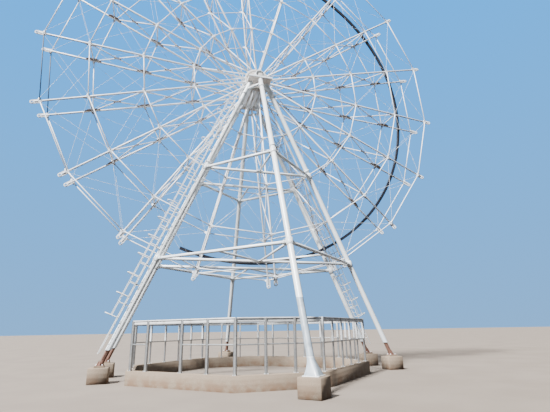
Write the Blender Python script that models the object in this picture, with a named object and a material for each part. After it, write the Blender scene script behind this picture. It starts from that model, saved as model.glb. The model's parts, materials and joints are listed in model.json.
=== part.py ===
"""Observation wheel under erection: spoked double rim on two braced tripods.

The wheel turns about the Y axis at the hub height. X runs across the wheel,
-Y is the front, Z is up and z = 0 is the ground under the plinths.
"""

from math import atan2, ceil, cos, pi, radians, sin

import bmesh
import bpy
from mathutils import Matrix, Vector

# Wheel
HUB_HEIGHT = 19.0
TIP_RADIUS = 14.12
SPOKE_COUNT = 18
FIRST_SPOKE_ANGLE = radians(-5.14)
TIP_HALF_SPREAD = 0.836
ROOT_HALF_SPREAD = 1.08
OUTER_RING_RADIUS = 13.58
SECOND_RING_RADIUS = 10.92
THIRD_RING_RADIUS = 7.62
INNER_RING_RADIUS = 4.37
CHORD_WIDTH = 0.11
POST_WIDTH = 0.075
DIAGONAL_WIDTH = 0.055
RING_TIE_WIDTH = 0.07
ROOT_PLATE_WIDTH = 0.20
ROOT_PLATE_THICKNESS = 0.06
EYE_LENGTH = 0.62
EYE_WIDTH = 0.20
EYE_THICKNESS = 0.05
EYE_HOLE_DIAMETER = 0.09

# Drive ring on the back of the rim, part of its circle still to be hung
DRIVE_RING_RADIUS = 12.43
DRIVE_RING_WIDTH = 0.18
DRIVE_RING_DEPTH = 0.16
DRIVE_RING_START = radians(-111.5)
DRIVE_RING_END = radians(100.7)
DRIVE_RING_STEP = radians(5.0)

# Hub and shaft
DRUM_RADIUS = 0.86
DRUM_LIP = 0.03
SHAFT_RADIUS = 0.18
SHAFT_END_INSET = 0.03
COLLAR_RADIUS = 0.24
SHAFT_CLEARANCE = 0.005

# Tripod legs
LEG_PLANE = 1.48
LEG_RADIUS = 0.145
SIDE_LEG_TOP_HALF_SPREAD = 0.36
SIDE_FOOT_HALF_SPREAD = 8.29
CENTRE_LEG_TOP_OFFSET = 1.80
CENTRE_FOOT_OFFSET = 9.65
SIDE_FLANGE_DROP = 1.40
CENTRE_FLANGE_DROP = 1.24
FLANGE_RADIUS = 0.19
FLANGE_THICKNESS = 0.05
SPLICE_RISE = 0.35
FOOT_STUB_RADIUS = 0.11
FOOT_STUB_HEIGHT = 0.80
FOOT_BLOCK_WIDTH = 0.46
FOOT_BLOCK_HEIGHT = 0.10
SHOE_WIDTH = 0.60
SHOE_HEIGHT = 0.65

# Bearing heads: a level platform on the three legs, with the shaft's bearing on it
PLATFORM_HALF_WIDTH = 0.80
PLATFORM_DEPTH = 0.87
PLATFORM_THICKNESS = 0.20
PLATFORM_LIP = 0.18
BEARING_RISE = 0.30
BEARING_OFFSET = 0.24
BEARING_LENGTH = 0.40
HOUSING_RADIUS = 0.32
BEARING_FOOT_WIDTH = 0.90
BEARING_FOOT_THICKNESS = 0.05
HEAD_STRUT_RADIUS = 0.08
HEAD_STRUT_SIDE_DROP = 1.04
HEAD_STRUT_CENTRE_DROP = 0.90

# Plinths, the centre ones with a corner to the front
PLINTH_WIDTH = 0.95
PLINTH_HEIGHT = 0.75
CENTRE_PLINTH_TURN = radians(45.0)

# Horizontal brace frames
LOWER_BRACE_HEIGHT = 6.31
UPPER_BRACE_HEIGHT = 12.03
BRACE_RADIUS = 0.085
BRACE_STRUT_RADIUS = 0.06
SLEEVE_WALL = 0.03
SLEEVE_LENGTH = 0.36

# Ladders with safety cages
LADDER_OFFSET = 0.36
LADDER_HALF_WIDTH = 0.25
STILE_WIDTH = 0.05
CAGE_RAIL_OFFSET = 0.71
CAGE_DEPTH = 1.04
CAGE_BAR_WIDTH = 0.03
CAGE_LOWEST_DROP = 16.0
CAGE_PITCH = 1.057
LADDER_TOP_DROP = 1.75
LADDER_BOTTOM_DROP = 17.75
STANDOFF_EVERY = 3
STANDOFF_WIDTH = 0.05
CROSSBAR_WIDTH = 0.025

# Station frame and the kerb it stands on
STATION_MIDDLE = -0.50
STATION_HALF_WIDTH = 6.25
STATION_FRONT = 7.15
STATION_BACK = 4.90
STATION_FLAT_HALF_WIDTH = 1.98
STATION_POST_HEIGHT = 2.30
STATION_POST_WIDTH = 0.10
STATION_POST_DEPTH = 0.08
STATION_CORNER_POST_WIDTH = 0.12
CORNER_POST_SIDES = 8
STATION_BEAM_DEPTH = 0.20
STATION_RAIL_HEIGHT = 1.19
STATION_RAIL_WIDTH = 0.06
STATION_BAY = 1.30
STATION_ENTRANCE_START = 1.00
STATION_ENTRANCE_WIDTH = 2.12
KERB_WIDTH = 0.40
KERB_HEIGHT = 0.64

CLEARANCE = 0.0003
TUBE_SIDES = 12
BAR_SIDES = 6

X_AXIS = Vector((1.0, 0.0, 0.0))
Y_AXIS = Vector((0.0, 1.0, 0.0))
Z_AXIS = Vector((0.0, 0.0, 1.0))

# Widths across the flats and corners of the many-sided bars
FLAT_SHARE = cos(pi / TUBE_SIDES)
SPOKE_STEP = 2.0 * pi / SPOKE_COUNT
EYE_CENTRE_RADIUS = TIP_RADIUS - EYE_WIDTH / 2.0
SIDE_LEG_SLOPE = (SIDE_FOOT_HALF_SPREAD - SIDE_LEG_TOP_HALF_SPREAD) / (HUB_HEIGHT - PLINTH_HEIGHT)
CENTRE_LEG_SLOPE = (CENTRE_FOOT_OFFSET - CENTRE_LEG_TOP_OFFSET) / (HUB_HEIGHT - PLINTH_HEIGHT)
BEARING_PLANE = LEG_PLANE + BEARING_OFFSET
BEARING_INNER = BEARING_PLANE - BEARING_LENGTH / 2.0
BEARING_OUTER = BEARING_PLANE + BEARING_LENGTH / 2.0
PLATFORM_TOP = HUB_HEIGHT - BEARING_RISE


def clear_scene():
    """Remove every object of the open file."""
    for obj in list(bpy.data.objects):
        bpy.data.objects.remove(obj, do_unlink=True)


def material(name, colour, roughness, metallic):
    """Return a Principled BSDF material."""
    made = bpy.data.materials.new(name)
    made.use_nodes = True
    shader = made.node_tree.nodes["Principled BSDF"]
    shader.inputs["Base Color"].default_value = (*colour, 1.0)
    shader.inputs["Roughness"].default_value = roughness
    shader.inputs["Metallic"].default_value = metallic
    return made


def mesh_from(verts, faces):
    """Return a closed mesh of these corners and faces, its faces pointing out."""
    shape = bmesh.new()
    corners = [shape.verts.new(vert) for vert in verts]
    for face in faces:
        shape.faces.new([corners[index] for index in face])
    bmesh.ops.recalc_face_normals(shape, faces=shape.faces)
    mesh = bpy.data.meshes.new("shape")
    shape.to_mesh(mesh)
    shape.free()
    return mesh


def swept(rings, closed=False):
    """Return a solid through a list of rings with equal corner counts."""
    count = len(rings[0])
    verts = [corner for ring in rings for corner in ring]
    faces = []
    spans = len(rings) if closed else len(rings) - 1
    for span in range(spans):
        here = span * count
        there = ((span + 1) % len(rings)) * count
        for index in range(count):
            after = (index + 1) % count
            faces.append((here + index, here + after, there + after, there + index))
    if not closed:
        faces.append(tuple(range(count)))
        faces.append(tuple((len(rings) - 1) * count + index for index in range(count)))
    return mesh_from(verts, faces)


def side_frame(direction, side):
    """Return two unit vectors across a direction, the first towards side."""
    along = direction.normalized()
    first = (side - along * side.dot(along)).normalized()
    return first, along.cross(first)


def turned(start, direction, profile, sides, side):
    """Return a turned solid with a flat towards side, from (distance, radius) pairs."""
    first, second = side_frame(direction, side)
    along = direction.normalized()
    rings = []
    for distance, radius in profile:
        centre = start + along * distance
        ring = []
        for index in range(sides):
            angle = 2.0 * pi * (index + 0.5) / sides
            ring.append(centre + first * radius * cos(angle) + second * radius * sin(angle))
        rings.append(ring)
    return swept(rings)


def round_bar(start, end, radius, sides, side):
    """Return a many-sided bar between two points."""
    length = (end - start).length
    return turned(start, end - start, [(0.0, radius), (length, radius)], sides, side)


def flat_bar(start, end, width, depth, side):
    """Return a rectangular bar, its width along side."""
    first, second = side_frame(end - start, side)
    across = first * width / 2.0
    up = second * depth / 2.0
    corners = (across + up, up - across, -across - up, across - up)
    return swept([[start + corner for corner in corners], [end + corner for corner in corners]])


def block(low, high):
    """Return a box between two corners."""
    xs, ys, zs = zip(low, high)
    ring = [(xs[0], ys[0]), (xs[1], ys[0]), (xs[1], ys[1]), (xs[0], ys[1])]
    return swept([[Vector((x, y, z)) for x, y in ring] for z in zs])


def square_at(centre, width, turn, height):
    """Return the corners of a level square about a plan centre, turned by an angle."""
    half = width / 2.0
    spin = Matrix.Rotation(turn, 3, "Z")
    middle = Vector((centre.x, centre.y, height))
    return [middle + spin @ Vector((half * x, half * y, 0.0))
            for x, y in ((-1, -1), (1, -1), (1, 1), (-1, 1))]


def standing_block(centre, width, turn, bottom, top):
    """Return a square upright block about a plan centre, turned by an angle."""
    return swept([square_at(centre, width, turn, height) for height in (bottom, top)])


def combined(base, operation, pieces):
    """Return the union or difference of a mesh with others, as one mesh."""
    group = bpy.data.collections.new("pieces")
    bpy.context.scene.collection.children.link(group)
    for piece in pieces:
        group.objects.link(bpy.data.objects.new("piece", piece))
    body = bpy.data.objects.new("body", base)
    bpy.context.scene.collection.objects.link(body)
    boolean = body.modifiers.new("boolean", "BOOLEAN")
    boolean.operation = operation
    boolean.operand_type = "COLLECTION"
    boolean.collection = group
    boolean.solver = "EXACT"
    graph = bpy.context.evaluated_depsgraph_get()
    mesh = bpy.data.meshes.new_from_object(body.evaluated_get(graph))
    for obj in list(group.objects):
        bpy.data.objects.remove(obj, do_unlink=True)
    bpy.data.objects.remove(body, do_unlink=True)
    bpy.data.collections.remove(group)
    return mesh


def fused(pieces):
    """Return one mesh that joins all the pieces."""
    return combined(pieces[0], "UNION", pieces[1:])


def cut(base, cutters):
    """Return a mesh with the cutters taken away."""
    return combined(base, "DIFFERENCE", cutters)


def add_node(name, mesh, finish, parent=None, place=None):
    """Add one named object of the model."""
    node = bpy.data.objects.new(name, mesh)
    bpy.context.scene.collection.objects.link(node)
    if not mesh.materials:
        mesh.materials.append(finish)
    if parent is not None:
        node.parent = parent
    if place is not None:
        node.matrix_basis = place
    return node


def spread_at(radius):
    """Return how far a chord's axis stands from the wheel's middle plane."""
    share = (radius - DRUM_RADIUS) / (EYE_CENTRE_RADIUS - DRUM_RADIUS)
    return ROOT_HALF_SPREAD + (TIP_HALF_SPREAD - ROOT_HALF_SPREAD) * share


def chord_point(radius, face):
    """Return a point on the axis of a chord of the spoke along +X."""
    return Vector((radius, face * spread_at(radius), 0.0))


def eye_plate(face):
    """Return the pierced plate at a chord's tip, where a cabin's pin goes."""
    root = TIP_RADIUS - EYE_LENGTH
    half = EYE_WIDTH / 2.0
    outline = [(root, -half), (EYE_CENTRE_RADIUS, -half)]
    for angle in (-45.0, 0.0, 45.0):
        turn = radians(angle)
        outline.append((EYE_CENTRE_RADIUS + half * cos(turn), half * sin(turn)))
    outline += [(EYE_CENTRE_RADIUS, half), (root, half)]
    middle = face * TIP_HALF_SPREAD
    faces = (middle - EYE_THICKNESS / 2.0, middle + EYE_THICKNESS / 2.0)
    plate = swept([[Vector((x, y, z)) for x, z in outline] for y in faces])
    centre = Vector((EYE_CENTRE_RADIUS, middle - EYE_THICKNESS, 0.0))
    through = [(0.0, EYE_HOLE_DIAMETER / 2.0), (2.0 * EYE_THICKNESS, EYE_HOLE_DIAMETER / 2.0)]
    return cut(plate, [turned(centre, Y_AXIS, through, BAR_SIDES, X_AXIS)])


def spoke_mesh():
    """Return one spoke truss lying along +X from the hub drum to the tips."""
    seat = DRUM_RADIUS + CLEARANCE
    half_root = ROOT_HALF_SPREAD + CHORD_WIDTH / 2.0
    half_plate = ROOT_PLATE_WIDTH / 2.0
    low = (seat, -half_root, -half_plate)
    high = (seat + ROOT_PLATE_THICKNESS, half_root, half_plate)
    pieces = [block(low, high)]
    inner = seat + ROOT_PLATE_THICKNESS / 2.0
    chord_end = EYE_CENTRE_RADIUS - EYE_HOLE_DIAMETER
    for face in (-1.0, 1.0):
        start = chord_point(inner, face)
        end = chord_point(chord_end, face)
        pieces.append(flat_bar(start, end, CHORD_WIDTH, CHORD_WIDTH, Y_AXIS))
        pieces.append(eye_plate(face))
    stations = [INNER_RING_RADIUS, THIRD_RING_RADIUS, SECOND_RING_RADIUS]
    for radius in stations:
        ends = [chord_point(radius, face) for face in (-1.0, 1.0)]
        pieces.append(flat_bar(ends[0], ends[1], POST_WIDTH, POST_WIDTH, X_AXIS))
    for near, far in zip([inner] + stations, stations):
        for face in (-1.0, 1.0):
            start = chord_point(near, face)
            end = chord_point(far, -face)
            pieces.append(flat_bar(start, end, DIAGONAL_WIDTH, DIAGONAL_WIDTH, Z_AXIS))
    return fused(pieces)


def ring_seat(radius, width):
    """Return where a ring's inner face lies so that it rests on the chords."""
    inner_edge = radius - width / 2.0 / cos(SPOKE_STEP / 2.0)
    tilt = atan2(ROOT_HALF_SPREAD - TIP_HALF_SPREAD, EYE_CENTRE_RADIUS - DRUM_RADIUS)
    return spread_at(inner_edge) + CHORD_WIDTH / 2.0 / cos(tilt) + CLEARANCE


def section_ring(angle, radius, width, inner_face, outer_face):
    """Return a rectangular section of a ring bar, standing at this angle."""
    corners = []
    for reach, depth in ((-1, inner_face), (1, inner_face), (1, outer_face), (-1, outer_face)):
        distance = radius + reach * width / 2.0
        corners.append(Vector((distance * cos(angle), depth, distance * sin(angle))))
    return corners


def tie_ring(radius, face):
    """Return a ring of ties from spoke to spoke on one face of the wheel."""
    width = RING_TIE_WIDTH / cos(SPOKE_STEP / 2.0)
    inner_face = face * ring_seat(radius, RING_TIE_WIDTH)
    outer_face = inner_face + face * RING_TIE_WIDTH
    rings = []
    for index in range(SPOKE_COUNT):
        angle = FIRST_SPOKE_ANGLE + index * SPOKE_STEP
        rings.append(section_ring(angle, radius, width, inner_face, outer_face))
    return swept(rings, closed=True)


def drive_ring():
    """Return the hung part of the drive ring, on the back chords."""
    inner_face = ring_seat(DRIVE_RING_RADIUS, DRIVE_RING_WIDTH)
    outer_face = inner_face + DRIVE_RING_DEPTH
    count = ceil((DRIVE_RING_END - DRIVE_RING_START) / DRIVE_RING_STEP)
    rings = []
    for index in range(count + 1):
        angle = DRIVE_RING_START + (DRIVE_RING_END - DRIVE_RING_START) * index / count
        rings.append(section_ring(angle, DRIVE_RING_RADIUS, DRIVE_RING_WIDTH, inner_face, outer_face))
    return swept(rings)


def hub_mesh():
    """Return the drum that carries the spokes, with its collars and shaft."""
    corner = DRUM_RADIUS / cos(SPOKE_STEP / 2.0)
    half = ROOT_HALF_SPREAD + CHORD_WIDTH / 2.0 + DRUM_LIP
    rings = []
    for depth in (-half, half):
        ring = []
        for index in range(SPOKE_COUNT):
            angle = FIRST_SPOKE_ANGLE + (index + 0.5) * SPOKE_STEP
            ring.append(Vector((corner * cos(angle), depth, corner * sin(angle))))
        rings.append(ring)
    collar = BEARING_INNER - CLEARANCE
    end = BEARING_OUTER - SHAFT_END_INSET
    profile = [(-end, SHAFT_RADIUS), (-collar, SHAFT_RADIUS), (-collar, COLLAR_RADIUS),
               (collar, COLLAR_RADIUS), (collar, SHAFT_RADIUS), (end, SHAFT_RADIUS)]
    shaft = turned(Vector(), Y_AXIS, profile, TUBE_SIDES, X_AXIS)
    return fused([swept(rings), shaft])


def side_leg_point(across, face, height):
    """Return a point on a side leg's axis."""
    reach = SIDE_LEG_TOP_HALF_SPREAD + (HUB_HEIGHT - height) * SIDE_LEG_SLOPE
    return Vector((across * reach, face * LEG_PLANE, height))


def centre_leg_point(face, height):
    """Return a point on a centre leg's axis."""
    reach = CENTRE_LEG_TOP_OFFSET + (HUB_HEIGHT - height) * CENTRE_LEG_SLOPE
    return Vector((0.0, face * reach, height))


def leg_point(across, face, height):
    """Return a point on the axis of a side leg, or of a centre leg when across is 0."""
    if across:
        return side_leg_point(across, face, height)
    return centre_leg_point(face, height)


def leg_side(across):
    """Return the direction that a leg's flats are squared to."""
    return Y_AXIS if across else X_AXIS


def leg_flange_height(across):
    """Return the height of the joint between a leg and the bearing head."""
    return HUB_HEIGHT - (SIDE_FLANGE_DROP if across else CENTRE_FLANGE_DROP)


def has_shoe(across, face):
    """Return whether this leg stands in the finished flared shoe."""
    return not across and face < 0


def foot_turn(across):
    """Return how far a leg's foot and plinth are turned about the vertical."""
    return 0.0 if across else CENTRE_PLINTH_TURN


def leg_profile(length, splice, stub):
    """Return (distance, radius) pairs of a leg from its foot to its head flange."""
    low = splice - FLANGE_THICKNESS
    high = splice + FLANGE_THICKNESS
    neck = length - FLANGE_THICKNESS
    profile = [(0.0, FOOT_STUB_RADIUS), (stub, FOOT_STUB_RADIUS)] if stub else []
    profile += [(stub, LEG_RADIUS), (low, LEG_RADIUS), (low, FLANGE_RADIUS)]
    profile += [(high, FLANGE_RADIUS), (high, LEG_RADIUS), (neck, LEG_RADIUS)]
    profile += [(neck, FLANGE_RADIUS), (length, FLANGE_RADIUS)]
    return profile


def leg_mesh(across, face):
    """Return one leg from its foot on the plinth to its head flange."""
    foot_height = PLINTH_HEIGHT + FOOT_BLOCK_HEIGHT / 2.0
    if has_shoe(across, face):
        foot_height = PLINTH_HEIGHT + SHOE_HEIGHT / 2.0
    foot = leg_point(across, face, foot_height)
    head = leg_point(across, face, leg_flange_height(across))
    splice = leg_point(across, face, UPPER_BRACE_HEIGHT + SPLICE_RISE)
    stub_top = leg_point(across, face, PLINTH_HEIGHT + FOOT_STUB_HEIGHT)
    direction = head - foot
    stub = 0.0 if has_shoe(across, face) else (stub_top - foot).length
    profile = leg_profile(direction.length, (splice - foot).length, stub)
    tube = turned(foot, direction, profile, TUBE_SIDES, leg_side(across))
    seat = PLINTH_HEIGHT + CLEARANCE
    centre = leg_point(across, face, PLINTH_HEIGHT)
    turn = foot_turn(across)
    if not has_shoe(across, face):
        base = standing_block(centre, FOOT_BLOCK_WIDTH, turn, seat,
                              PLINTH_HEIGHT + FOOT_BLOCK_HEIGHT)
        return fused([tube, base])
    top = PLINTH_HEIGHT + SHOE_HEIGHT
    neck_width = LEG_RADIUS * 2.0 ** 0.5
    flare = swept([square_at(centre, SHOE_WIDTH, turn, seat),
                   square_at(leg_point(across, face, top), neck_width, turn, top)])
    return fused([tube, flare])


def plinth_mesh(across, face):
    """Return the concrete block under one leg."""
    centre = leg_point(across, face, PLINTH_HEIGHT)
    return standing_block(centre, PLINTH_WIDTH, foot_turn(across), 0.0, PLINTH_HEIGHT)


def head_stub(across, face):
    """Return a head's stub tube from the leg's flange up into the platform."""
    flange = leg_point(across, face, leg_flange_height(across))
    top = leg_point(across, face, PLATFORM_TOP - PLATFORM_THICKNESS / 2.0)
    length = (top - flange).length
    profile = [(CLEARANCE, FLANGE_RADIUS), (FLANGE_THICKNESS, FLANGE_RADIUS)]
    profile += [(FLANGE_THICKNESS, LEG_RADIUS), (length, LEG_RADIUS)]
    return turned(flange, top - flange, profile, TUBE_SIDES, leg_side(across))


def crosswise_block(face, half_width, near, far, bottom, top):
    """Return a box across the shaft, between two distances out on one face of the wheel."""
    depths = sorted((face * near, face * far))
    return block((-half_width, depths[0], bottom), (half_width, depths[1], top))


def bearing_head(face):
    """Return the head that joins three legs and carries one end of the shaft."""
    near = LEG_PLANE - PLATFORM_LIP
    middle = Vector((0.0, face * BEARING_PLANE, HUB_HEIGHT))
    start = middle - Y_AXIS * BEARING_LENGTH / 2.0
    pieces = [
        crosswise_block(face, PLATFORM_HALF_WIDTH, near, near + PLATFORM_DEPTH,
                        PLATFORM_TOP - PLATFORM_THICKNESS, PLATFORM_TOP),
        turned(start, Y_AXIS, [(0.0, HOUSING_RADIUS), (BEARING_LENGTH, HOUSING_RADIUS)],
               TUBE_SIDES, X_AXIS),
        crosswise_block(face, HOUSING_RADIUS * FLAT_SHARE, BEARING_INNER, BEARING_OUTER,
                        PLATFORM_TOP, HUB_HEIGHT),
        crosswise_block(face, BEARING_FOOT_WIDTH / 2.0, BEARING_INNER, BEARING_OUTER,
                        PLATFORM_TOP, PLATFORM_TOP + BEARING_FOOT_THICKNESS)]
    for across in (-1.0, 0.0, 1.0):
        pieces.append(head_stub(across, face))
    for across in (-1.0, 1.0):
        low = side_leg_point(across, face, HUB_HEIGHT - HEAD_STRUT_SIDE_DROP)
        high = centre_leg_point(face, HUB_HEIGHT - HEAD_STRUT_CENTRE_DROP)
        pieces.append(round_bar(low, high, HEAD_STRUT_RADIUS, BAR_SIDES, Z_AXIS))
    bore = (SHAFT_RADIUS + SHAFT_CLEARANCE) / FLAT_SHARE
    reach = BEARING_LENGTH
    hole = turned(middle - Y_AXIS * reach, Y_AXIS, [(0.0, bore), (2.0 * reach, bore)],
                  TUBE_SIDES, X_AXIS)
    return cut(fused(pieces), [hole])


def brace_frame(face, height, with_midspan_struts):
    """Return a horizontal triangle of tubes round one tripod, sleeved on its legs."""
    left = leg_point(-1.0, face, height)
    right = leg_point(1.0, face, height)
    centre = leg_point(0.0, face, height)
    middle = (left + right) / 2.0
    pieces = [round_bar(left, right, BRACE_RADIUS, BAR_SIDES, Z_AXIS),
              round_bar(left, centre, BRACE_RADIUS, BAR_SIDES, Z_AXIS),
              round_bar(right, centre, BRACE_RADIUS, BAR_SIDES, Z_AXIS),
              round_bar(middle, centre, BRACE_STRUT_RADIUS, BAR_SIDES, Z_AXIS)]
    if with_midspan_struts:
        for side in (left, right):
            pieces.append(round_bar(middle, (side + centre) / 2.0, BRACE_STRUT_RADIUS,
                                    BAR_SIDES, Z_AXIS))
    cores = []
    for across in (-1.0, 1.0, 0.0):
        point = leg_point(across, face, height)
        along = (leg_point(across, face, HUB_HEIGHT) - point).normalized()
        half = along * SLEEVE_LENGTH / 2.0
        pieces.append(round_bar(point - half, point + half, LEG_RADIUS + SLEEVE_WALL,
                                TUBE_SIDES, leg_side(across)))
        bore = LEG_RADIUS + CLEARANCE / FLAT_SHARE
        cores.append(round_bar(point - 2.0 * half, point + 2.0 * half, bore,
                               TUBE_SIDES, leg_side(across)))
    return cut(fused(pieces), cores)


def ladder_mesh(across, face):
    """Return a ladder with its cage on the outer side of a side leg."""
    outward = Vector((across, 0.0, SIDE_LEG_SLOPE)).normalized()

    def spot(drop, out, along_y):
        """Return a point by its drop below the hub and its distances off the leg."""
        axis = side_leg_point(across, face, HUB_HEIGHT - drop)
        return axis + outward * out + Y_AXIS * along_y

    pieces = []
    hoop_count = int((CAGE_LOWEST_DROP - LADDER_TOP_DROP) / CAGE_PITCH) + 1
    hoops = [CAGE_LOWEST_DROP - index * CAGE_PITCH for index in range(hoop_count)]
    for side in (-1.0, 1.0):
        y = side * LADDER_HALF_WIDTH
        pieces.append(flat_bar(spot(LADDER_TOP_DROP, LADDER_OFFSET, y),
                               spot(LADDER_BOTTOM_DROP, LADDER_OFFSET, y),
                               STILE_WIDTH, STILE_WIDTH, Y_AXIS))
        pieces.append(flat_bar(spot(hoops[-1] - CAGE_BAR_WIDTH, CAGE_RAIL_OFFSET, y),
                               spot(hoops[0] + CAGE_BAR_WIDTH, CAGE_RAIL_OFFSET, y),
                               CAGE_BAR_WIDTH, CAGE_BAR_WIDTH, Y_AXIS))
        for drop in hoops:
            pieces.append(flat_bar(spot(drop, LADDER_OFFSET, y), spot(drop, CAGE_DEPTH, y),
                                   CAGE_BAR_WIDTH, CAGE_BAR_WIDTH, Y_AXIS))
    half = LADDER_HALF_WIDTH + CAGE_BAR_WIDTH / 2.0
    leg_face = LEG_RADIUS * FLAT_SHARE + CLEARANCE
    for drop in hoops:
        pieces.append(flat_bar(spot(drop, CAGE_DEPTH, -half), spot(drop, CAGE_DEPTH, half),
                               CAGE_BAR_WIDTH, CAGE_BAR_WIDTH, outward))
    for drop in hoops[:-1:STANDOFF_EVERY]:
        between = drop - CAGE_PITCH / 2.0
        pieces.append(flat_bar(spot(between, LADDER_OFFSET, -LADDER_HALF_WIDTH),
                               spot(between, LADDER_OFFSET, LADDER_HALF_WIDTH),
                               CROSSBAR_WIDTH, CROSSBAR_WIDTH, outward))
        pieces.append(flat_bar(spot(between, leg_face, 0.0), spot(between, LADDER_OFFSET, 0.0),
                               STANDOFF_WIDTH, STANDOFF_WIDTH, Y_AXIS))
    return fused(pieces)


def station_corners():
    """Return the station's eight plan corners, counter-clockwise from the front left."""
    slope = STATION_HALF_WIDTH - STATION_FLAT_HALF_WIDTH
    front = -STATION_FRONT
    flat = STATION_FLAT_HALF_WIDTH
    wide = STATION_HALF_WIDTH
    plan = [(-flat, front), (flat, front), (wide, front + slope), (wide, STATION_BACK - slope),
            (flat, STATION_BACK), (-flat, STATION_BACK), (-wide, STATION_BACK - slope),
            (-wide, front + slope)]
    return [Vector((STATION_MIDDLE + x, y, 0.0)) for x, y in plan]


def station_posts(start, end):
    """Return evenly spaced points from one point to another, about a bay apart."""
    bays = max(1, round((end - start).length / STATION_BAY))
    return [start.lerp(end, index / bays) for index in range(bays + 1)]


def station_panel(start, end, with_corners, with_entrance):
    """Return one straight side of the station frame between two plan corners."""
    seat = KERB_HEIGHT + CLEARANCE
    top = seat + STATION_POST_HEIGHT
    along = (end - start).normalized()
    across = along.cross(Z_AXIS)
    corner = STATION_CORNER_POST_WIDTH / 2.0
    inset = 0.0 if with_corners else corner + CLEARANCE
    first = start + along * inset
    last = end - along * inset
    beam_height = top - STATION_BEAM_DEPTH / 2.0
    pieces = [flat_bar(first + Z_AXIS * beam_height, last + Z_AXIS * beam_height,
                       STATION_POST_WIDTH, STATION_BEAM_DEPTH, across)]
    stretches = [(start, end)]
    if with_entrance:
        near = start + along * STATION_ENTRANCE_START
        stretches = [(start, near), (near + along * STATION_ENTRANCE_WIDTH, end)]
    posts = [post for stretch in stretches for post in station_posts(*stretch)]
    for post in posts[1:-1]:
        pieces.append(flat_bar(post + Z_AXIS * seat, post + Z_AXIS * beam_height,
                               STATION_POST_DEPTH, STATION_POST_WIDTH, across))
    if with_corners:
        radius = corner / cos(pi / CORNER_POST_SIDES)
        for post in (start, end):
            pieces.append(round_bar(post + Z_AXIS * seat, post + Z_AXIS * top, radius,
                                    CORNER_POST_SIDES, along))
    rail_height = KERB_HEIGHT + STATION_RAIL_HEIGHT
    for near_end, far_end in stretches:
        pieces.append(flat_bar(near_end + along * inset + Z_AXIS * rail_height,
                               far_end - along * inset + Z_AXIS * rail_height,
                               STATION_RAIL_WIDTH, STATION_RAIL_WIDTH, across))
    return fused(pieces)


def kerb_mesh():
    """Return the closed concrete kerb under the station frame."""
    corners = station_corners()
    rings = []
    for index, corner in enumerate(corners):
        before = (corner - corners[index - 1]).normalized()
        after = (corners[(index + 1) % len(corners)] - corner).normalized()
        outward = (before.cross(Z_AXIS) + after.cross(Z_AXIS)).normalized()
        reach = KERB_WIDTH / 2.0 / outward.dot(after.cross(Z_AXIS))
        inner = corner - outward * reach
        outer = corner + outward * reach
        rings.append([inner, outer, outer + Z_AXIS * KERB_HEIGHT, inner + Z_AXIS * KERB_HEIGHT])
    return swept(rings, closed=True)


def build_wheel(wheel, finishes):
    """Build every piece that turns."""
    spoke = spoke_mesh()
    for index in range(SPOKE_COUNT):
        angle = FIRST_SPOKE_ANGLE + index * SPOKE_STEP
        place = Matrix.Rotation(-angle, 4, "Y")
        add_node(f"spoke_{index + 1:02d}", spoke, finishes["wheel"], wheel, place)
    rings = {"outer": OUTER_RING_RADIUS, "second": SECOND_RING_RADIUS,
             "third": THIRD_RING_RADIUS, "inner": INNER_RING_RADIUS}
    for word, radius in rings.items():
        for side, face in (("front", -1.0), ("back", 1.0)):
            add_node(f"{word}_ring_{side}", tie_ring(radius, face), finishes["rings"], wheel)
    add_node("drive_ring", drive_ring(), finishes["drive"], wheel)
    add_node("hub_drum", hub_mesh(), finishes["hub"], wheel)


def build_supports(finishes):
    """Build the legs, heads, braces, plinths and ladders."""
    legs = {"left": -1.0, "right": 1.0, "centre": 0.0}
    for side, face in (("front", -1.0), ("back", 1.0)):
        for word, across in legs.items():
            add_node(f"{side}_{word}_leg", leg_mesh(across, face), finishes["legs"])
            add_node(f"{side}_{word}_plinth", plinth_mesh(across, face), finishes["concrete"])
        add_node(f"{side}_bearing_head", bearing_head(face), finishes["legs"])
        add_node(f"{side}_lower_brace", brace_frame(face, LOWER_BRACE_HEIGHT, True),
                 finishes["braces"])
        add_node(f"{side}_upper_brace", brace_frame(face, UPPER_BRACE_HEIGHT, False),
                 finishes["braces"])
    add_node("front_ladder", ladder_mesh(-1.0, -1.0), finishes["ladders"])
    add_node("back_ladder", ladder_mesh(1.0, 1.0), finishes["ladders"])


def build_station(finishes):
    """Build the station frame's sides and their kerb."""
    corners = station_corners()
    sides = ["front", "front_right", "right", "back_right", "back", "back_left", "left",
             "front_left"]
    for index, side in enumerate(sides):
        start = corners[index]
        end = corners[(index + 1) % len(corners)]
        panel = station_panel(start, end, index % 2 == 1, side == "front_left")
        add_node(f"station_{side}", panel, finishes["station"])
    add_node("station_kerb", kerb_mesh(), finishes["concrete"])


def main():
    """Build the whole model."""
    clear_scene()
    finishes = {
        "wheel": material("wheel paint", (0.80, 0.79, 0.75), 0.35, 0.0),
        "rings": material("ring paint", (0.76, 0.76, 0.74), 0.35, 0.0),
        "drive": material("drive ring paint", (0.02, 0.03, 0.07), 0.45, 0.0),
        "hub": material("hub paint", (0.55, 0.53, 0.50), 0.45, 0.0),
        "legs": material("leg paint", (0.82, 0.81, 0.78), 0.35, 0.0),
        "braces": material("brace paint", (0.80, 0.79, 0.76), 0.35, 0.0),
        "ladders": material("ladder paint", (0.78, 0.78, 0.76), 0.40, 0.0),
        "station": material("galvanised steel", (0.45, 0.47, 0.49), 0.50, 0.8),
        "concrete": material("concrete", (0.50, 0.42, 0.33), 0.90, 0.0),
    }
    wheel = bpy.data.objects.new("wheel_axis", None)
    wheel.location = (0.0, 0.0, HUB_HEIGHT)
    bpy.context.scene.collection.objects.link(wheel)
    build_wheel(wheel, finishes)
    build_supports(finishes)
    build_station(finishes)


main()
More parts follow.
